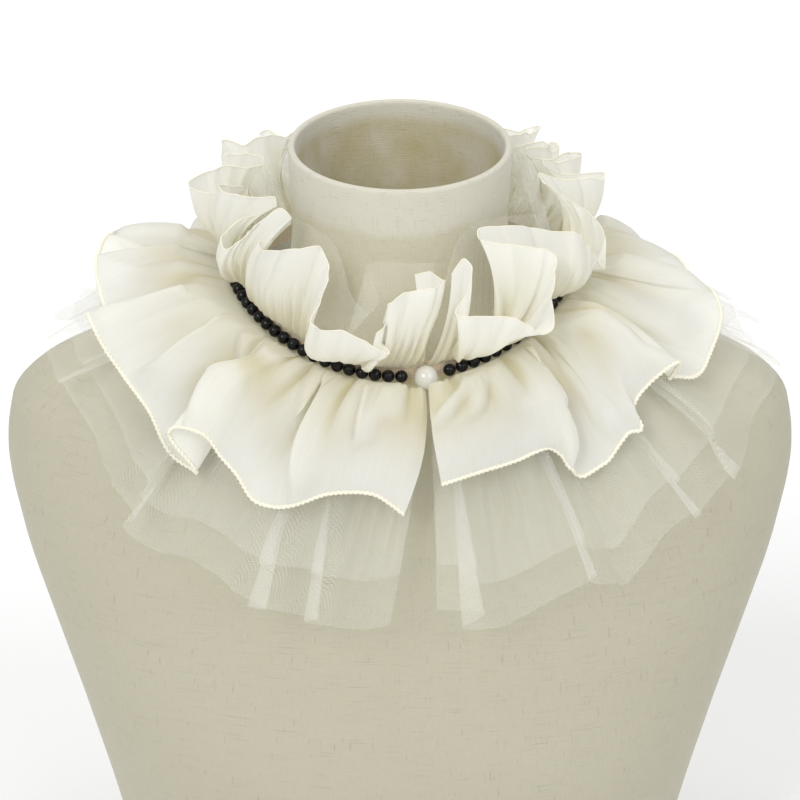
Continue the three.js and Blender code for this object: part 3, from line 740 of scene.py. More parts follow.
def find_net_top(angle, radius):
    """Height of the shorter net straight below a place."""
    low, high = np.zeros_like(radius), np.ones_like(radius)
    for _ in range(16):
        middle = (low + high) / 2
        r, _, nr, _ = fall_base(angle, middle)
        inside = r + nr * short_lift(angle, middle) < radius
        low, high = np.where(inside, middle, low), np.where(inside, high, middle)
    _, z, _, nz = fall_base(angle, low)
    return z + nz * short_lift(angle, low)


net_top = mapped(find_net_top)


def wander(seed, count, amount):
    """A smooth uneven line through as many random places."""
    marks = np.random.default_rng(seed).uniform(-amount, amount, count)
    place = np.linspace(0, count - 1, count)

    def read(u):
        return np.interp(np.clip(u, 0, 1) * (count - 1), place, marks)

    return read


def walked_along(points):
    """Length walked along a line of points."""
    return np.concatenate([[0], np.cumsum(np.linalg.norm(np.diff(points, axis=0), axis=1))])


def along_band(angle):
    return np.radians(angle - OPENING) * BAND_FRONT


def gathering(seed, least, most, lowest):
    """Puckers at uneven distances along a length: a wave from -1 to 1, of uneven strength."""
    chance = np.random.default_rng(seed)
    marks = np.cumsum(chance.uniform(least, most, 400))
    strength = chance.uniform(lowest, 1, 400)

    def read(place):
        count = np.interp(place, marks, np.arange(400))
        return np.sin(2 * math.pi * count) * np.interp(place, marks, strength)

    return read


net_puckers = gathering(3, 4.2, 6.4, 0.6)
NET_PUCKER = 3.0


def net_frill(lift, is_long, columns=1100, rows=34):
    """Points of a net frill and the lengths of its flat strip. Each pleat folds over to one side."""
    u = np.linspace(0, 1, columns)[None, :]
    share = np.linspace(0, 1, rows)[:, None]
    middle_angle = fall_angle(u, 0.5)
    t = share * (1 if is_long else short_reach(middle_angle))
    angle = fall_angle(u, t)
    over = sum(
        row["over"] * np.sin(np.clip(centred(angle - row["angle"]) / row["spread"], -1, 1) * math.pi)
        for row in NET_PLEATS
    )
    ruffle = wander(11 if is_long else 12, 130, 1.0)(u) * smooth(t * 2 - 0.5)
    puckers = net_puckers(along_band(fall_angle(u, 0))) * NET_PUCKER * smooth(t / 0.1) * (1 - 0.85 * smooth((t - 0.45) * 2.4))
    rise = lift(angle, t) + ruffle + puckers
    r, z, nr, nz = fall_base(angle, t)
    points = around(angle - over * t**0.5, r + nr * rise, z + nz * rise)
    hem = walked_along(points[-1])
    width = walked_along(points[:, columns // 3])[-1]
    flat = np.stack(np.broadcast_arrays(hem[None, :], share * width), -1)
    return points, flat, hem[-1], width


NET_CELL = 1.15
NET_THREAD = 0.13
net = Finish("net")
net_map = net.add("ShaderNodeUVMap", {"uv_map": "cut"}).value("UV")
net_parts = net.add("ShaderNodeSeparateXYZ", inputs={"Vector": net_map})
net_u, net_v = net_parts.value("X") * (1000 / NET_CELL), net_parts.value("Y") * (1000 / NET_CELL)


def net_line(slope):
    """1 on the threads that run one way and 0 between them."""
    from_thread = ((net_u + net_v * slope).fraction() - 0.5).absolute()
    return ((from_thread - (0.5 - NET_THREAD)) * 12).most(0).least(1)


net_threads = net_line(0.58).most(net_line(-0.58))
net_shader = net.add(
    "ShaderNodeBsdfPrincipled",
    inputs={
        "Base Color": (0.93, 0.93, 0.89, 1),
        "Roughness": 0.6,
        "Alpha": net_threads * 0.46 + 0.05,
        "Sheen Weight": 0.3,
    },
)
net_glow = net.add("ShaderNodeBsdfTranslucent", inputs={"Color": (0.96, 0.955, 0.90, 1)})
net_clear = net.add("ShaderNodeBsdfTransparent")
net_lit = net.add(
    "ShaderNodeMixShader",
    inputs={0: 1 - (net_threads * 0.46 + 0.05), 1: net_glow.value(), 2: net_clear.value()},
)
net_look = net.done(
    net.add("ShaderNodeMixShader", inputs={0: 0.5, 1: net_shader.value(), 2: net_lit.value()}).value()
)

for name, node, lift, is_long in (
    ("net_fall_long", "net_frill_long", long_lift, True),
    ("net_fall_short", "net_frill_short", short_lift, False),
):
    points, flat, length, width = net_frill(lift, is_long)
    frill = piece_from(grid_shape(points, flat), name, net_look)
    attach(frill, "root")
    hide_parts(node)
    print(name, "cut", round(width), round(length))

# ---------------------------------------------------------------- falling chiffon frill
# A straight strip of ivory chiffon, gathered on one edge and sewn under the band over the net. It falls in
# soft flutes, and its hem is rolled over a cord and oversewn.
FALL_WIDTH = 76
FALL_CUT = 74
FALL_FOLDS = [
    dict(rise=(9.5, 115, 304), crest=(24, 112, 308), fall=(38.5, 118, 310), valley=(42, 123, 297)),
    dict(rise=(47, 129, 302), crest=(52, 134, 307), fall=(55.5, 137, 316), valley=(56.5, 131, 324)),
    dict(rise=(61, 134, 334), crest=(65.5, 143, 341), fall=(66.5, 139, 329), valley=(69.5, 148, 327)),
    dict(rise=(76, 153, 338), crest=(82, 156, 350), fall=(89, 151, 355), valley=(96, 141, 342)),
    dict(rise=(101, 146, 352), crest=(108, 143, 356), fall=(114, 134, 347), valley=(118, 126, 334)),
    dict(rise=(123, 131, 343), crest=(128, 134, 348), fall=(134, 128, 342), valley=(139, 118, 325)),
    dict(rise=(144, 121, 336), crest=(150, 124, 342), fall=(155, 119, 334), valley=(160, 111, 320)),
    dict(rise=(165, 115, 331), crest=(171, 118, 338), fall=(176, 115, 331), valley=(181, 107, 318)),
    dict(rise=(187, 113, 330), crest=(192, 117, 337), fall=(197, 115, 331), valley=(202, 109, 319)),
    dict(rise=(208, 117, 333), crest=(213, 122, 341), fall=(218, 120, 336), valley=(223, 115, 324)),
    dict(rise=(229, 126, 342), crest=(235, 132, 350), fall=(240, 130, 344), valley=(244, 128, 336)),
    dict(rise=(249, 141, 356), crest=(256, 150, 366), fall=(266, 149, 362), valley=(278, 143, 344)),
    dict(rise=(282, 149, 352), crest=(286, 152, 355), fall=(290, 148, 345), valley=(294, 143, 335)),
    dict(rise=(302, 138, 322), crest=(307.5, 137, 308), valley=(313.5, 132, 299)),
    dict(crest=(311, 141, 322), fall=(316.5, 132, 322), valley=(319.5, 128, 312)),
    dict(rise=(323.5, 127, 304), crest=(328, 127, 293), fall=(334, 125, 292), valley=(344, 117, 299)),
    dict(rise=(354, 116, 300), crest=(361, 116, 290)),
]
BIGHT = 4.5
DOUBLED_BACK = -0.5
PULL = 0.7
LEAST_STEP = 1.2
FRONT_EDGE = 0.9
OVER_NET = 4.8
TRIM_AIR = 0.8
TRIM_SLOPE = 2.5
PARTING_FROM = 12
PARTING_SLOPE = 0.28
PEARL_REACH = 12
STAND_REACH = 108


def unit(v):
    return v / np.maximum(np.linalg.norm(v, axis=-1, keepdims=True), 1e-9)


def corners_of(folds, level_at):
    """A table's corners in order, as root angles and points. Hairpins are opened into bights."""
    rows = [corner for fold in folds for corner in fold.values()]
    angle = np.array([row[0] for row in rows], float)
    pulled = np.array([row[3] if len(row) > 3 else row[0] for row in rows], float)
    height = np.array([row[2] for row in rows], float) + level_at(angle)
    point = around(angle, np.array([row[1] for row in rows], float), height)
    angles, points = [], []
    for i, here in enumerate(point):
        if 0 < i < len(point) - 1:
            into, out = unit(here - point[i - 1]), unit(point[i + 1] - here)
            if into @ out <= DOUBLED_BACK:
                aside = unit(into + out) * BIGHT / 2
                angles += [pulled[i], pulled[i]]
                points += [here - aside, here + aside]
                continue
        angles.append(pulled[i])
        points.append(here)
    return np.array(angles), np.array(points)


def roots_of(angles, points):
    """Angles at which the corners' gathers meet the band."""
    first, last = OPENING + FRONT_EDGE, OPENING + 360 - FRONT_EDGE
    walked = walked_along(points)
    wanted = lerp((last - first) * walked / walked[-1], angles - first, PULL)
    ordered = [0.0]
    for i in range(1, len(wanted)):
        ordered.append(ordered[-1] + max(LEAST_STEP, wanted[i] - wanted[i - 1]))
    return lerp(first, last, np.array(ordered) / ordered[-1])


def edge_line(angles, points, roots, columns, roundness):
    """The free edge as a smooth line through the corners: its points, and each one's root and corner."""
    way = unit(np.diff(points, axis=0))
    heading = unit(np.concatenate([way[:1], way[:-1] + way[1:], way[-1:]]))
    length = np.linalg.norm(np.diff(points, axis=0), axis=1)
    walked = walked_along(points)
    s = np.linspace(0, walked[-1], columns)
    i = np.clip(np.searchsorted(walked, s, side="right") - 1, 0, len(length) - 1)
    t = ((s - walked[i]) / length[i])[:, None]
    t2, t3 = t * t, t * t * t
    reach = length[i][:, None] * roundness
    line = (2 * t3 - 3 * t2 + 1) * points[i] + (3 * t2 - 2 * t3) * points[i + 1]
    line += reach * ((t3 - 2 * t2 + t) * heading[i] + (t3 - t2) * heading[i + 1])
    share = smooth(t[:, 0]) * 0.5 + t[:, 0] * 0.5
    return line, lerp(roots[i], roots[i + 1], share), i + t[:, 0]


def normals_of(points):
    """Directions square to a grid of points."""
    along = np.gradient(points, axis=1)
    down = np.gradient(points, axis=0)
    return unit(np.cross(down, along))


def gathered(line, start, share, width, belly, most):
    """Points of a frill from the band to its free edge. Cloth to spare bellies outwards."""
    reach = np.hypot(line[:, 0], line[:, 1]) - np.hypot(start[:, 0], start[:, 1])
    rise = line[:, 2] - start[:, 2]
    slack = np.sqrt(np.maximum(0, width**2 - np.sum((line - start) ** 2, axis=1)))
    side = np.where(reach * rise < 0, -1, 1)
    size = np.hypot(reach, rise)
    outward = unit(line * [1, 1, 0]) * (np.abs(rise) / size)[:, None]
    outward[:, 2] = -side * np.abs(reach) / size
    middle = (start + line) / 2 + outward * np.minimum(slack * belly, most)[:, None]
    t = share[:, None, None]
    return (1 - t) ** 2 * start + 2 * t * (1 - t) * middle + t * t * line


def trim_room(angle, radius):
    """Half the height that the beads, and the pearl at the opening, take up at a distance from the neck."""
    at_pearl = bump(centred(angle - OPENING) / PEARL_REACH)
    middle = band_radius(angle) + CLOTH / 2 + SEAM + lerp(BEAD, PEARL, at_pearl) / 2
    room = lerp(BEAD, PEARL, at_pearl) / 2 + TRIM_AIR
    off = np.abs(radius - middle)
    round_it = np.sqrt(np.maximum(room**2 - off**2, 0))
    return np.where(off < room * 0.7, round_it, room * 0.714 - (off - room * 0.7) * TRIM_SLOPE)


def parting(angle, radius):
    """Height, above the band, that parts the falling frill from the standing one beyond the beads."""
    past = radius - band_radius(angle) - PARTING_FROM
    return np.maximum(-0.5, PARTING_SLOPE * past) + 2 * np.maximum(0, radius - STAND_REACH)


def angle_of(points):
    return np.degrees(np.arctan2(points[..., 0], -points[..., 1]))


def soft_most(a, b, blend):
    """The greater of two, rounded where they meet."""
    h = np.maximum(blend - np.abs(a - b), 0) / blend
    return np.maximum(a, b) + h * h * blend / 4


def rest_on_net(points, share):
    angle, radius = angle_of(points), np.hypot(points[..., 0], points[..., 1])
    room = np.minimum(-trim_room(angle, radius), parting(angle, radius) - 0.5)
    beyond = radius - band_radius(angle) > 9
    ceiling = band_level(angle) + np.where(beyond, parting(angle, radius) - 0.5, room)
    bed = net_top(angle, radius) + lerp(NET_RISE + SEAM, OVER_NET, np.clip(6 * share[:, None], 0, 1))
    z = soft_most(points[..., 2], bed, 3.0)
    points[..., 2] = -soft_most(-z, -ceiling, 1.0)
    return points


def folds_at(folds, root, share):
    """Height of ridges that run from the band: rounded along their tops, sharp where they meet."""
    height = np.zeros((len(share), len(root)))
    for fold in folds:
        middle = fold["angle"] + fold.get("lean", 0) * share[:, None]
        x = np.clip(np.abs(centred(root[None, :] - middle)) / fold["half"], 0, 1)
        fade = smooth(share / 0.10) * (1 - smooth((share - 0.1) / fold["reach"]))
        height = np.maximum(height, (1 - x**2) ** 0.8 * fade[:, None] * fold["height"])
    return height


def edges_at(edges, root, share):
    """Height of folds that rise slowly to a line and drop steeply past it."""
    height = np.zeros((len(share), len(root)))
    for edge in edges:
        at, angle = zip(*edge["line"])
        middle = np.interp(share, at, angle)[:, None]
        past = centred(root[None, :] - middle) * edge["drop"]
        slope = 0.5 + 0.5 * np.cos(math.pi * np.clip(-past / edge["slope"], 0, 1))
        cliff = (1 - np.clip(past / edge.get("cliff", 1.5), 0, 1) ** 2) ** 0.8
        fade = smooth((share - edge.get("start", 0)) / 0.14) * (1 - smooth((share - edge["end"]) / 0.25))
        height += edge["height"] * np.where(past > 0, cliff, slope) * fade[:, None]
    return height


# Folds that lie over their neighbour. The line is in shares of the frill's width and angles along the band,
# and the drop is on its side towards greater angles where it is 1.
FALL_EDGES = [
    dict(line=[(0, -69.5), (1, -71)], drop=-1, slope=8, height=6.9, end=0.9),
    dict(line=[(0, -60.5), (0.38, -57), (0.74, -57.8), (1, -61)], drop=-1, slope=8, height=6.9, end=0.75),
    dict(line=[(0, -53), (0.21, -52), (0.45, -45), (0.62, -39), (1, -37)], drop=-1, slope=11, height=7.5, end=0.85),
    dict(line=[(0, -37), (0.3, -35)], drop=1, slope=7, height=4.4, end=0.18, cliff=3),
    dict(line=[(0, -27), (0.31, -24.4), (0.5, -21)], drop=-1, slope=4, height=4.4, end=0.3),
    dict(line=[(0, -23), (0.28, -18.3), (0.59, -17.3), (1, -15)], drop=-1, slope=6.5, height=8.1, end=0.8),
    dict(line=[(0, -7), (0.41, -5.2), (0.62, -4.3), (0.8, -8)], drop=-1, slope=5, height=6.2, end=0.5),
    dict(line=[(0, -1), (0.31, -1.7)], drop=-1, slope=6, height=4.4, end=0.3),
    dict(line=[(0, 24), (0.13, 23), (0.46, 13), (0.6, 10)], drop=-1, slope=3.5, height=4.4, end=0.4, cliff=3),
    dict(line=[(0, 27), (0.26, 22.5), (0.5, 19.5), (0.74, 12)], drop=1, slope=4, height=4.4, end=0.4, cliff=2.5),
    dict(line=[(0, 43.5), (0.26, 42), (0.64, 36.5), (1, 38)], drop=1, slope=10, height=8.1, end=0.85),
    dict(line=[(0, 53.5), (0.38, 49.5), (0.74, 49), (1, 50.5)], drop=-1, slope=7, height=5, end=0.8, cliff=3),
    dict(line=[(0, 57), (0.41, 60), (0.79, 60), (1, 63)], drop=1, slope=6, height=5.6, end=0.85, cliff=2),
    dict(line=[(0, 75), (1, 78)], drop=-1, slope=9, height=5, end=0.7, cliff=3),
    dict(line=[(0, 92), (1, 90)], drop=1, slope=9, height=5.6, end=0.8, cliff=2.5),
    dict(line=[(0, 112), (1, 114)], drop=-1, slope=9, height=6.2, end=0.75, cliff=2.5),
    dict(line=[(0, 131), (1, 128)], drop=1, slope=9, height=5, end=0.6, cliff=2.5),
    dict(line=[(0, 152), (1, 155)], drop=-1, slope=8, height=6.2, end=0.8, cliff=2.5),
    dict(line=[(0, 174), (1, 171)], drop=1, slope=9, height=5.6, end=0.7, cliff=2.5),
    dict(line=[(0, 193), (1, 195)], drop=-1, slope=8, height=5, end=0.6, cliff=2.5),
    dict(line=[(0, 214), (1, 211)], drop=1, slope=9, height=6.2, end=0.8, cliff=2.5),
    dict(line=[(0, 236), (1, 239)], drop=-1, slope=9, height=5.6, end=0.7, cliff=2.5),
    dict(line=[(0, 258), (1, 257.5)], drop=-1, slope=12, height=6.2, end=0.9, cliff=3),
]


def uneven_folds(seed, start, end, half, height, reach):
    """Ridges like the ones in a table, side by side from one angle to another."""
    chance = np.random.default_rng(seed)
    made, angle = [], start
    while angle < end:
        width = chance.uniform(*half)
        made.append(
            dict(
                angle=angle + width,
                half=width * 1.15,
                height=chance.uniform(*height),
                reach=chance.uniform(*reach),
                lean=chance.uniform(-1.5, 1.5),
            )
        )
        angle += 2 * width
    return made


# Ridges of the gathers below the band: the angle, half width and height of each, and how much of the frill
# they run down.
FALL_GATHERS = [
    dict(angle=12, half=4, height=3.0, reach=0.5),
    dict(angle=20, half=4, height=2.2, reach=0.35),
    dict(angle=28.5, half=4.5, height=5.0, reach=0.75, lean=-2),
    dict(angle=37, half=4.5, height=2.6, reach=0.4),
    dict(angle=45, half=4.5, height=3.6, reach=0.5),
    dict(angle=52, half=3.5, height=3.0, reach=0.6),
    dict(angle=58.5, half=3.5, height=2.4, reach=0.45),
    dict(angle=65, half=4, height=3.6, reach=0.7),
    dict(angle=73, half=4.5, height=3.0, reach=0.5),
    dict(angle=81, half=4.5, height=3.6, reach=0.6),
    dict(angle=-72, half=5, height=4.0, reach=0.75),
    dict(angle=-61.5, half=5, height=4.0, reach=0.75),
    dict(angle=-52.5, half=4.5, height=3.4, reach=0.45),
    dict(angle=-44, half=4.5, height=4.2, reach=0.5),
    dict(angle=-36, half=3.2, height=3.6, reach=0.35),
    dict(angle=-30, half=3.2, height=4.0, reach=0.55),
    dict(angle=-23.5, half=3.6, height=5.0, reach=0.85, lean=-2),
    dict(angle=-16.5, half=3.6, height=2.0, reach=0.3),
    dict(angle=-8.5, half=4.2, height=4.6, reach=0.75),
    dict(angle=-0.5, half=4.0, height=3.2, reach=0.5),
    dict(angle=6.5, half=3.2, height=2.2, reach=0.4),
]
FALL_GATHERS += uneven_folds(41, 86, 282, (3, 5.5), (2.4, 4.6), (0.35, 0.8))


CHIFFON_WHITE = (0.94, 0.945, 0.93)
# Painted shade: the cream that the chiffon turns near the band, where its gathers are deepest.
CHIFFON_CREAM_SHADE = (0.88, 0.86, 0.71)
# Painted shade: the dark yellow that the valleys between the gathers are tinted towards.
CHIFFON_GATHER_SHADE = (0.66, 0.59, 0.35)
CHIFFON_GLOW = (0.96, 0.94, 0.82)
# How far from the band the painted cream shade of the deep gathers reaches.
CREAM_SHADE_REACH = 0.04
chiffon = Finish("chiffon")
chiffon_map = chiffon.add("ShaderNodeUVMap", {"uv_map": "cut"}).value("UV")


def chiffon_threads(along, across, detail):
    stretched = chiffon.add(
        "ShaderNodeMapping", inputs={"Vector": chiffon_map, "Scale": (along, across, 1)}
    ).value()
    return chiffon.add(
        "ShaderNodeTexNoise", inputs={"Vector": stretched, "Scale": 1.0, "Detail": detail}
    ).value("Fac")


crepe = chiffon_threads(1300, 70, 2.0)
crepe_across = chiffon_threads(90, 1100, 1.0)
milky = chiffon_threads(30, 30, 3.0)
chiffon_out = chiffon.add("ShaderNodeSeparateXYZ", inputs={"Vector": chiffon_map}).value("Y")
# Painted shade: cream near the band, white further out, with uneven crepe and milky tone.
chiffon_tone_and_band_shade = chiffon.add(
    "ShaderNodeMix",
    {"data_type": "RGBA", "clamp_factor": True},
    {
        "Factor": (chiffon_out * (1 / CREAM_SHADE_REACH)).least(1) * 0.8 + crepe * 0.25 + milky * 0.2 - 0.12,
        "A": (*CHIFFON_CREAM_SHADE, 1),
        "B": (*CHIFFON_WHITE, 1),
    },
).value("Result")
# Painted shade in the valleys of the gathers, read from the depth UV map.
gather_shade_map = chiffon.add("ShaderNodeUVMap", {"uv_map": "depth"}).value("UV")
gather_shade = chiffon.add("ShaderNodeSeparateXYZ", inputs={"Vector": gather_shade_map}).value("X")
chiffon_shaded = chiffon.add(
    "ShaderNodeMix",
    {"data_type": "RGBA", "clamp_factor": True},
    {"Factor": gather_shade * (milky * 0.4 + 0.8), "A": chiffon_tone_and_band_shade, "B": (*CHIFFON_GATHER_SHADE, 1)},
).value("Result")
chiffon_bump = chiffon.add(
    "ShaderNodeBump", inputs={"Height": crepe + crepe_across * 0.6, "Strength": 0.15, "Distance": 0.0003}
).value("Normal")
chiffon_alpha = crepe * 0.10 + milky * 0.06 + 0.78
chiffon_shader = chiffon.add(
    "ShaderNodeBsdfPrincipled",
    inputs={
        "Base Color": chiffon_shaded,
        "Roughness": 0.7,
        "Normal": chiffon_bump,
        "Alpha": chiffon_alpha,
        "Sheen Weight": 0.2,
    },
)
chiffon_glow = chiffon.add("ShaderNodeBsdfTranslucent", inputs={"Color": (*CHIFFON_GLOW, 1)})
chiffon_look = chiffon.done(
    chiffon.add(
        "ShaderNodeMixShader", inputs={0: 0.36, 1: chiffon_shader.value(), 2: chiffon_glow.value()}
    ).value()
)

fall_angles, fall_points = corners_of(FALL_FOLDS, lambda angle: angle * 0)
fall_roots = roots_of(fall_angles, fall_points)
fall_line, fall_root, fall_corner = edge_line(fall_angles, fall_points, fall_roots, 1100, 0.8)
fall_share = np.linspace(0, 1, 40)
fall_cloth = gathered(fall_line, off_band(fall_root, SEWN_ON, -SEWN_UP), fall_share, FALL_WIDTH, 0.6, 26)
front = np.radians(
    3.0 * smooth((fall_root - 355) / 13)[None, :] * np.sin(math.pi * fall_share)[:, None]
    - 1.8 * smooth((22 - fall_root) / 13)[None, :] * np.sin(math.pi * fall_share)[:, None]
)
fall_cloth[..., 0], fall_cloth[..., 1] = (
    fall_cloth[..., 0] * np.cos(front) - fall_cloth[..., 1] * np.sin(front),
    fall_cloth[..., 0] * np.sin(front) + fall_cloth[..., 1] * np.cos(front),
)
fall_cloth = rest_on_net(fall_cloth, fall_share)
fall_puckers = gathering(5, 2.8, 4.4, 0.5)(along_band(fall_root))[None, :] * 0.75
fall_puckers = fall_puckers * (smooth(fall_share / 0.06) * (1 - smooth(fall_share / 0.45)))[:, None]
fall_ridges = folds_at(FALL_GATHERS, fall_root, fall_share) * 1.15 + fall_puckers
fall_ridges += edges_at(FALL_EDGES, fall_root, fall_share)
fall_cloth += normals_of(fall_cloth) * fall_ridges[..., None]
fall_cloth = rest_on_net(fall_cloth, fall_share)
fall_hem_length = walked_along(fall_cloth[-1])
fall_flat = np.stack(np.broadcast_arrays(fall_hem_length[None, :], fall_share[:, None] * FALL_CUT), -1)
# Painted shade: strongest in the valleys between the ridges, lighter on the ridges, fading out towards the hem.
fall_gather_shade = 1 - smooth((fall_ridges - 0.5) / 3.5) * 0.72
fall_gather_shade = fall_gather_shade * (1 - smooth((fall_share - 0.15) / 0.75))[:, None]
falling = piece_from(grid_shape(fall_cloth, fall_flat, fall_gather_shade), "chiffon_fall", chiffon_look)
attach(falling, "root")
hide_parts("chiffon_frill_falling")


def cord_shape(line, radius, sides, twist, depth):
    """A tube along a line. Its stitches are slanted ridges, twist millimetres apart."""
    walked = walked_along(line)
    step = np.gradient(line, axis=0)
    along = unit(step)
    side = unit(np.cross(along, np.array([0.0, 0.0, 1.0]) + along * 0.001))
    up = np.cross(side, along)
    turn = np.linspace(0, 2 * math.pi, sides + 1)[:, None]
    ridge = 1 + depth * np.cos(2 * math.pi * walked[None, :] / twist + turn) if twist else 1.0
    out = np.cos(turn)[..., None] * side[None] + np.sin(turn)[..., None] * up[None]
    points = line[None] + out * (radius * ridge * np.ones_like(walked)[None, :])[..., None]
    flat = np.stack(np.broadcast_arrays(walked[None, :], turn * radius), -1)
    return joined(grid_shape(points, flat), MERGED / 2, sides + 1)


def finer(line, step):
    """A line with its points at equal distances."""
    walked = walked_along(line)
    wanted = np.linspace(0, walked[-1], int(walked[-1] / step))
    return np.stack([np.interp(wanted, walked, line[:, k]) for k in range(3)], -1)


stitch = Finish("oversewing")
stitch_map = stitch.add("ShaderNodeUVMap", {"uv_map": "cut"}).value("UV")
stitch_fluff = stitch.add(
    "ShaderNodeTexNoise", inputs={"Vector": stitch_map, "Scale": 900.0, "Detail": 3.0}
).value("Fac")
stitch_colour = stitch.add(
    "ShaderNodeMix",
    {"data_type": "RGBA"},
    {"Factor": stitch_fluff, "A": (0.78, 0.74, 0.58, 1), "B": (0.93, 0.91, 0.80, 1)},
).value("Result")
stitch_bump = stitch.add(
    "ShaderNodeBump", inputs={"Height": stitch_fluff, "Strength": 0.5, "Distance": 0.0003}
).value("Normal")
stitch_look = stitch.done(
    stitch.add(
        "ShaderNodeBsdfPrincipled",
        inputs={"Base Color": stitch_colour, "Roughness": 0.85, "Normal": stitch_bump},
    ).value("BSDF")
)
HEM_CORD = 0.85
hem_line = finer(fall_cloth[-1], 0.4)
hem = piece_from(cord_shape(hem_line, HEM_CORD, 8, 2.3, 0.34), "rolled_hem", stitch_look)
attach(hem, "root")
print("chiffon_fall cut", FALL_CUT, round(fall_hem_length[-1]))

# ---------------------------------------------------------------- standing chiffon frill
# A narrower strip of the same chiffon, gathered on the band's top edge. It stands up round the neck and
# opens outwards in folds, each of which goes out and comes back to a tuck by the neck.
STAND_WIDTH = 54
STAND_CUT = 43
# The rim's corners in order, each an angle, a distance from the neck's axis and a height above the band. A
# fourth number is the angle that the corner's gathers come from, where it isn't straight below.
STAND_FRONT_RIGHT = [
    (19, 73, 44),
    (25, 70, 48),
    (27, 73, 44),
    (24, 78, 36, 15),
    (17.5, 87, 30, 16),
    (25, 97, 29.5, 19),
    (31, 102, 26.5, 22),
    (38, 105.5, 15, 24.5),
    (42, 105, 13, 26),
    (45, 98, 25, 27),
    (53.5, 88, 35.5, 28),
    (34, 64, 53, 29),
    (53.5, 71, 44.5, 42),
    (61, 80, 38, 52),
    (65, 89, 36, 60),
    (77, 100, 10, 71),
    (82, 98, 22, 77),
    (86, 90, 30, 83),
]
STAND_HIDDEN = [
    dict(tuck=(92, 66, 45), near=(97, 85, 41), out=(102, 100, 37), far=(106, 96, 38)),
    dict(tuck=(109, 73, 44), near=(112, 87, 42), out=(117, 98, 41), far=(120, 95, 40)),
    dict(tuck=(123, 74, 43), near=(125, 87, 42), out=(128.5, 99, 40), far=(131, 94, 40)),
    dict(tuck=(133, 71, 44), near=(136, 90, 44), out=(139, 105, 42), far=(145, 96, 40)),
    dict(tuck=(153, 70, 44), near=(160, 84, 42), out=(167, 97, 40), far=(174, 91, 40)),
    dict(tuck=(182, 69, 44), near=(190, 84, 41), out=(198, 97, 40), far=(206, 92, 39)),
    dict(tuck=(213, 71, 44), near=(218, 86, 42), out=(223, 99, 41), far=(227, 90, 41)),
    dict(tuck=(231, 70, 45), near=(234, 88, 46), out=(239, 103, 44), far=(244, 95, 41)),
    dict(tuck=(247, 71, 43), near=(252, 88, 40), out=(259, 105, 36.5), far=(264, 92, 35)),
]
STAND_FRONT_LEFT = [
    (267, 74, 38),
    (274, 86, 43),
    (278, 84, 43),
    (284, 70, 43),
    (289, 62, 43),
    (287, 76, 35),
    (290, 89, 29),
    (293, 89, 26),
    (296, 76, 38),
    (300, 64, 47),
    (308, 64, 47),
    (304, 70, 42),
    (301, 76, 33.5),
    (307, 80, 35),
    (315, 79, 41),
    (323, 77, 47.5),
    (328.5, 71, 50.5),
    (335, 76, 45),
    (336.5, 84, 38),
    (335, 94, 25),
    (339, 99, 26),
    (345, 98.5, 28),
    (350, 98, 25, 348),
    (356.5, 94, 18, 351),
    (352.5, 86, 22, 353.5),
    (356.5, 84.5, 28, 356),
    (357, 82, 37, 358),
    (361, 78, 40.5),
    (372, 76, 40.5),
    (376.5, 69, 41),
    (372, 65, 45),
    (366, 65, 45),
]


def crumpled(folds, seed):
    """The corners of folds with one more between each two, pushed a little off the straight line."""
    chance = np.random.default_rng(seed)
    corners = [corner for fold in folds for corner in fold.values()]
    made = [corners[0]]
    for here, after in zip(corners, corners[1:]):
        push = chance.uniform((-1.2, -3.0, -4.0), (1.2, 3.0, 3.0))
        middle = (np.array(here) + np.array(after)) / 2 + push
        made += [tuple(middle), tuple(np.array(after) + chance.uniform(-1, 1, 3))]
    return made


STAND_CORNERS = STAND_FRONT_RIGHT + crumpled(STAND_HIDDEN, 17) + STAND_FRONT_LEFT
STAND_FOLDS = [dict(enumerate(STAND_CORNERS))]


def trim_top(angle, radius):
    """The lowest that the standing frill can lie, on the beads and past them."""
    room = np.maximum(trim_room(angle, radius), np.minimum(parting(angle, radius), 6) + 0.7)
    return band_level(angle) + room


def rest_on_trim(points):
    lowest = trim_top(angle_of(points), np.hypot(points[..., 0], points[..., 1]))
    points[..., 2] = soft_most(points[..., 2], lowest, 2.0)
    return points


def clear_of_trim(points):
    """1 where the frill stands free or is still behind the beads, and 0 where it lies on them."""
    angle, radius = angle_of(points), np.hypot(points[..., 0], points[..., 1])
    behind = smooth((5 - (radius - band_radius(angle))) / 3)
    return np.maximum(behind, smooth((points[..., 2] - trim_top(angle, radius)) / 6))


stand_angles, stand_points = corners_of(STAND_FOLDS, band_level)
stand_roots = roots_of(stand_angles, stand_points)
stand_line, stand_root, stand_corner = edge_line(stand_angles, stand_points, stand_roots, 1300, 0.45)
stand_share = np.linspace(0, 1, 32)
stand_start = off_band(stand_root, SEWN_ON, SEWN_UP)
stand_out = np.hypot(stand_line[:, 0], stand_line[:, 1]) - np.hypot(stand_start[:, 0], stand_start[:, 1])
stand_up = stand_line[:, 2] - stand_start[:, 2]
stand_steep = (stand_up - stand_out) / np.hypot(stand_up, stand_out)
stand_belly = np.clip(stand_steep + 0.3, -0.1, 0.75)
stand_cloth = rest_on_trim(gathered(stand_line, stand_start, stand_share, STAND_WIDTH, stand_belly, 15))
stand_clear = clear_of_trim(stand_cloth)
stand_puckers = gathering(7, 2.8, 4.2, 0.6)(along_band(stand_root))[None, :] * 3.0
stand_puckers = stand_puckers * (smooth(stand_share / 0.1) * (1 - smooth((stand_share - 0.15) / 0.6)))[:, None]
stand_puckers = stand_puckers * np.clip(stand_steep * 1.6, 0.12, 1)[None, :] * stand_clear
stand_walked = walked_along(stand_line)
stand_creases = np.abs(gathering(9, 14, 34, 0.4)(stand_walked))[None, :] ** 0.5 * -1.7
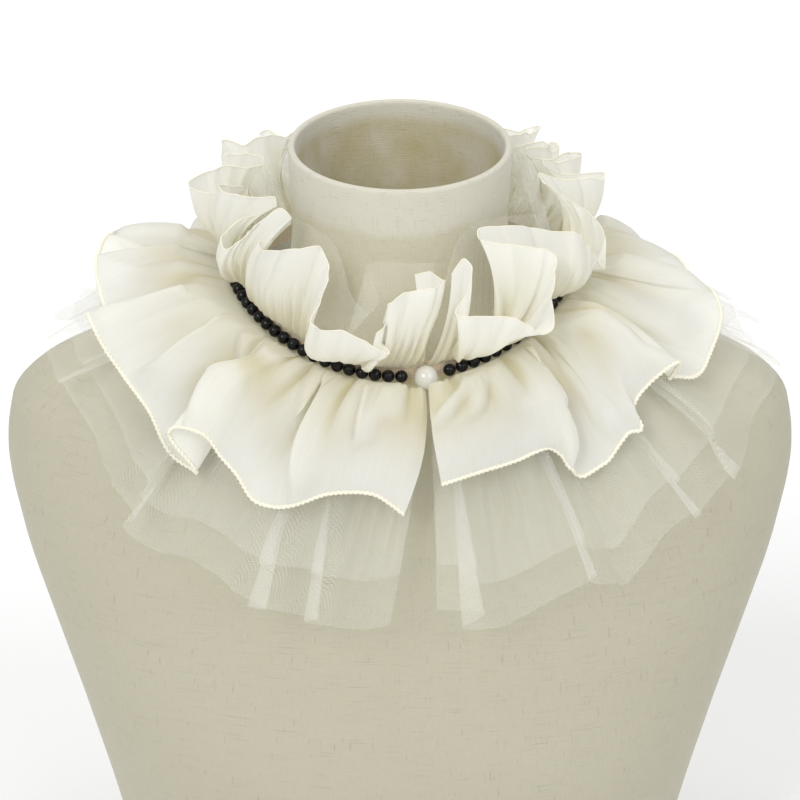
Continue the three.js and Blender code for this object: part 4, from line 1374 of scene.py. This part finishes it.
stand_creases = stand_creases * smooth((stand_share - 0.15) / 0.5)[:, None]
stand_ridges = gathering(8, 18, 32, 0.5)(along_band(stand_root))[None, :] * 2.2
stand_ridges = stand_ridges * (smooth(stand_share / 0.5) * (1 - smooth((stand_share - 0.5) / 0.5)))[:, None]
stand_cloth += normals_of(stand_cloth) * (stand_puckers + (stand_ridges + stand_creases) * stand_clear)[..., None]
stand_cloth = rest_on_trim(stand_cloth)
stand_rim_length = walked_along(stand_cloth[-1])
stand_flat = np.stack(np.broadcast_arrays(stand_rim_length[None, :], stand_share[:, None] * STAND_CUT), -1)
# Painted shade: darker in the hollows of the puckers and along the band, fading out towards the rim.
stand_pucker_shade = (1 - smooth((stand_puckers + 1) / 2)) * (1 - smooth(stand_share / 0.7))[:, None] * 0.7
standing = piece_from(grid_shape(stand_cloth, stand_flat, stand_pucker_shade), "chiffon_stand", chiffon_look)
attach(standing, "root")
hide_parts("chiffon_frill_standing")
RIM_THREAD = 0.3
rim = piece_from(cord_shape(finer(stand_cloth[-1], 0.8), RIM_THREAD, 6, 0, 0), "standing_rim", stitch_look)
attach(rim, "root")
print("chiffon_stand cut", STAND_CUT, round(stand_rim_length[-1]))

# ---------------------------------------------------------------- standing net frill
# A strip of the same net inside the standing chiffon. Its raw rim shows above the chiffon at the front.
NET_TUCK = 58
NET_OUT = 0.2
NET_PEEK = 4
NET_WAVE = 3


NET_FRONT_RIGHT = [
    (22, 61, 44),
    (25.5, 61, 53),
    (36, 59, 55),
    (46, 59, 51),
    (58, 61, 45),
    (66, 68, 41),
    (74, 72, 38),
    (82, 62, 44),
]
NET_FRONT_LEFT = [
    (272, 60, 44),
    (282, 66, 40),
    (292, 60, 42),
    (302, 59, 44),
    (312, 59.5, 48),
    (321, 60, 50),
    (330, 63, 52),
    (337, 68, 46.5),
    (342, 76, 38.5),
    (345.5, 81, 35),
    (351, 84, 33),
    (353, 81, 37),
    (350.5, 74, 43),
    (346, 64, 46.5),
    (349, 60, 48),
    (360, 59.5, 48.5),
    (376, 60, 46),
]


def net_corners():
    """The net's rim: as shown at the front, and in low waves between the neck and the chiffon elsewhere."""
    made = list(NET_FRONT_RIGHT)
    for fold in STAND_HIDDEN:
        tuck, near, out = fold["tuck"], fold["near"], fold["out"]
        angle = (near[0] + out[0]) / 2
        radius = lerp(NET_TUCK, (near[1] + out[1]) / 2, NET_OUT)
        height = (near[2] + tuck[2]) / 2 + NET_PEEK
        made += [(tuck[0], NET_TUCK, tuck[2] + NET_PEEK)]
        made += [(angle - NET_WAVE, radius, height), (angle + NET_WAVE, radius, height)]
    return made + NET_FRONT_LEFT


ruff_angles, ruff_points = corners_of([dict(enumerate(net_corners()))], band_level)
ruff_roots = roots_of(ruff_angles, ruff_points)
ruff_line, ruff_root, ruff_corner = edge_line(ruff_angles, ruff_points, ruff_roots, 700, 0.9)
ruff_share = np.linspace(0, 1, 22)
ruff_cloth = gathered(ruff_line, off_band(ruff_root, SEWN_OUT - NET_RISE, SEAM_UP), ruff_share, 0, 0, 0)
ruff_puckers = gathering(7, 2.8, 4.2, 0.6)(along_band(ruff_root))[None, :] * 0.9
ruff_puckers = ruff_puckers * (smooth(ruff_share / 0.12) * (1 - 0.8 * smooth(ruff_share / 0.9)))[:, None]
ruff_cloth += normals_of(ruff_cloth) * ruff_puckers[..., None]
ruff_length = walked_along(ruff_cloth[-1])
ruff_width = walked_along(ruff_cloth[:, 0])[-1]
ruff_flat = np.stack(np.broadcast_arrays(ruff_length[None, :], ruff_share[:, None] * ruff_width), -1)
ruff = piece_from(grid_shape(ruff_cloth, ruff_flat), "net_stand", net_look)
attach(ruff, "root")
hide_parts("net_frill_standing")
print("net_stand cut", round(ruff_width), round(ruff_length[-1]))
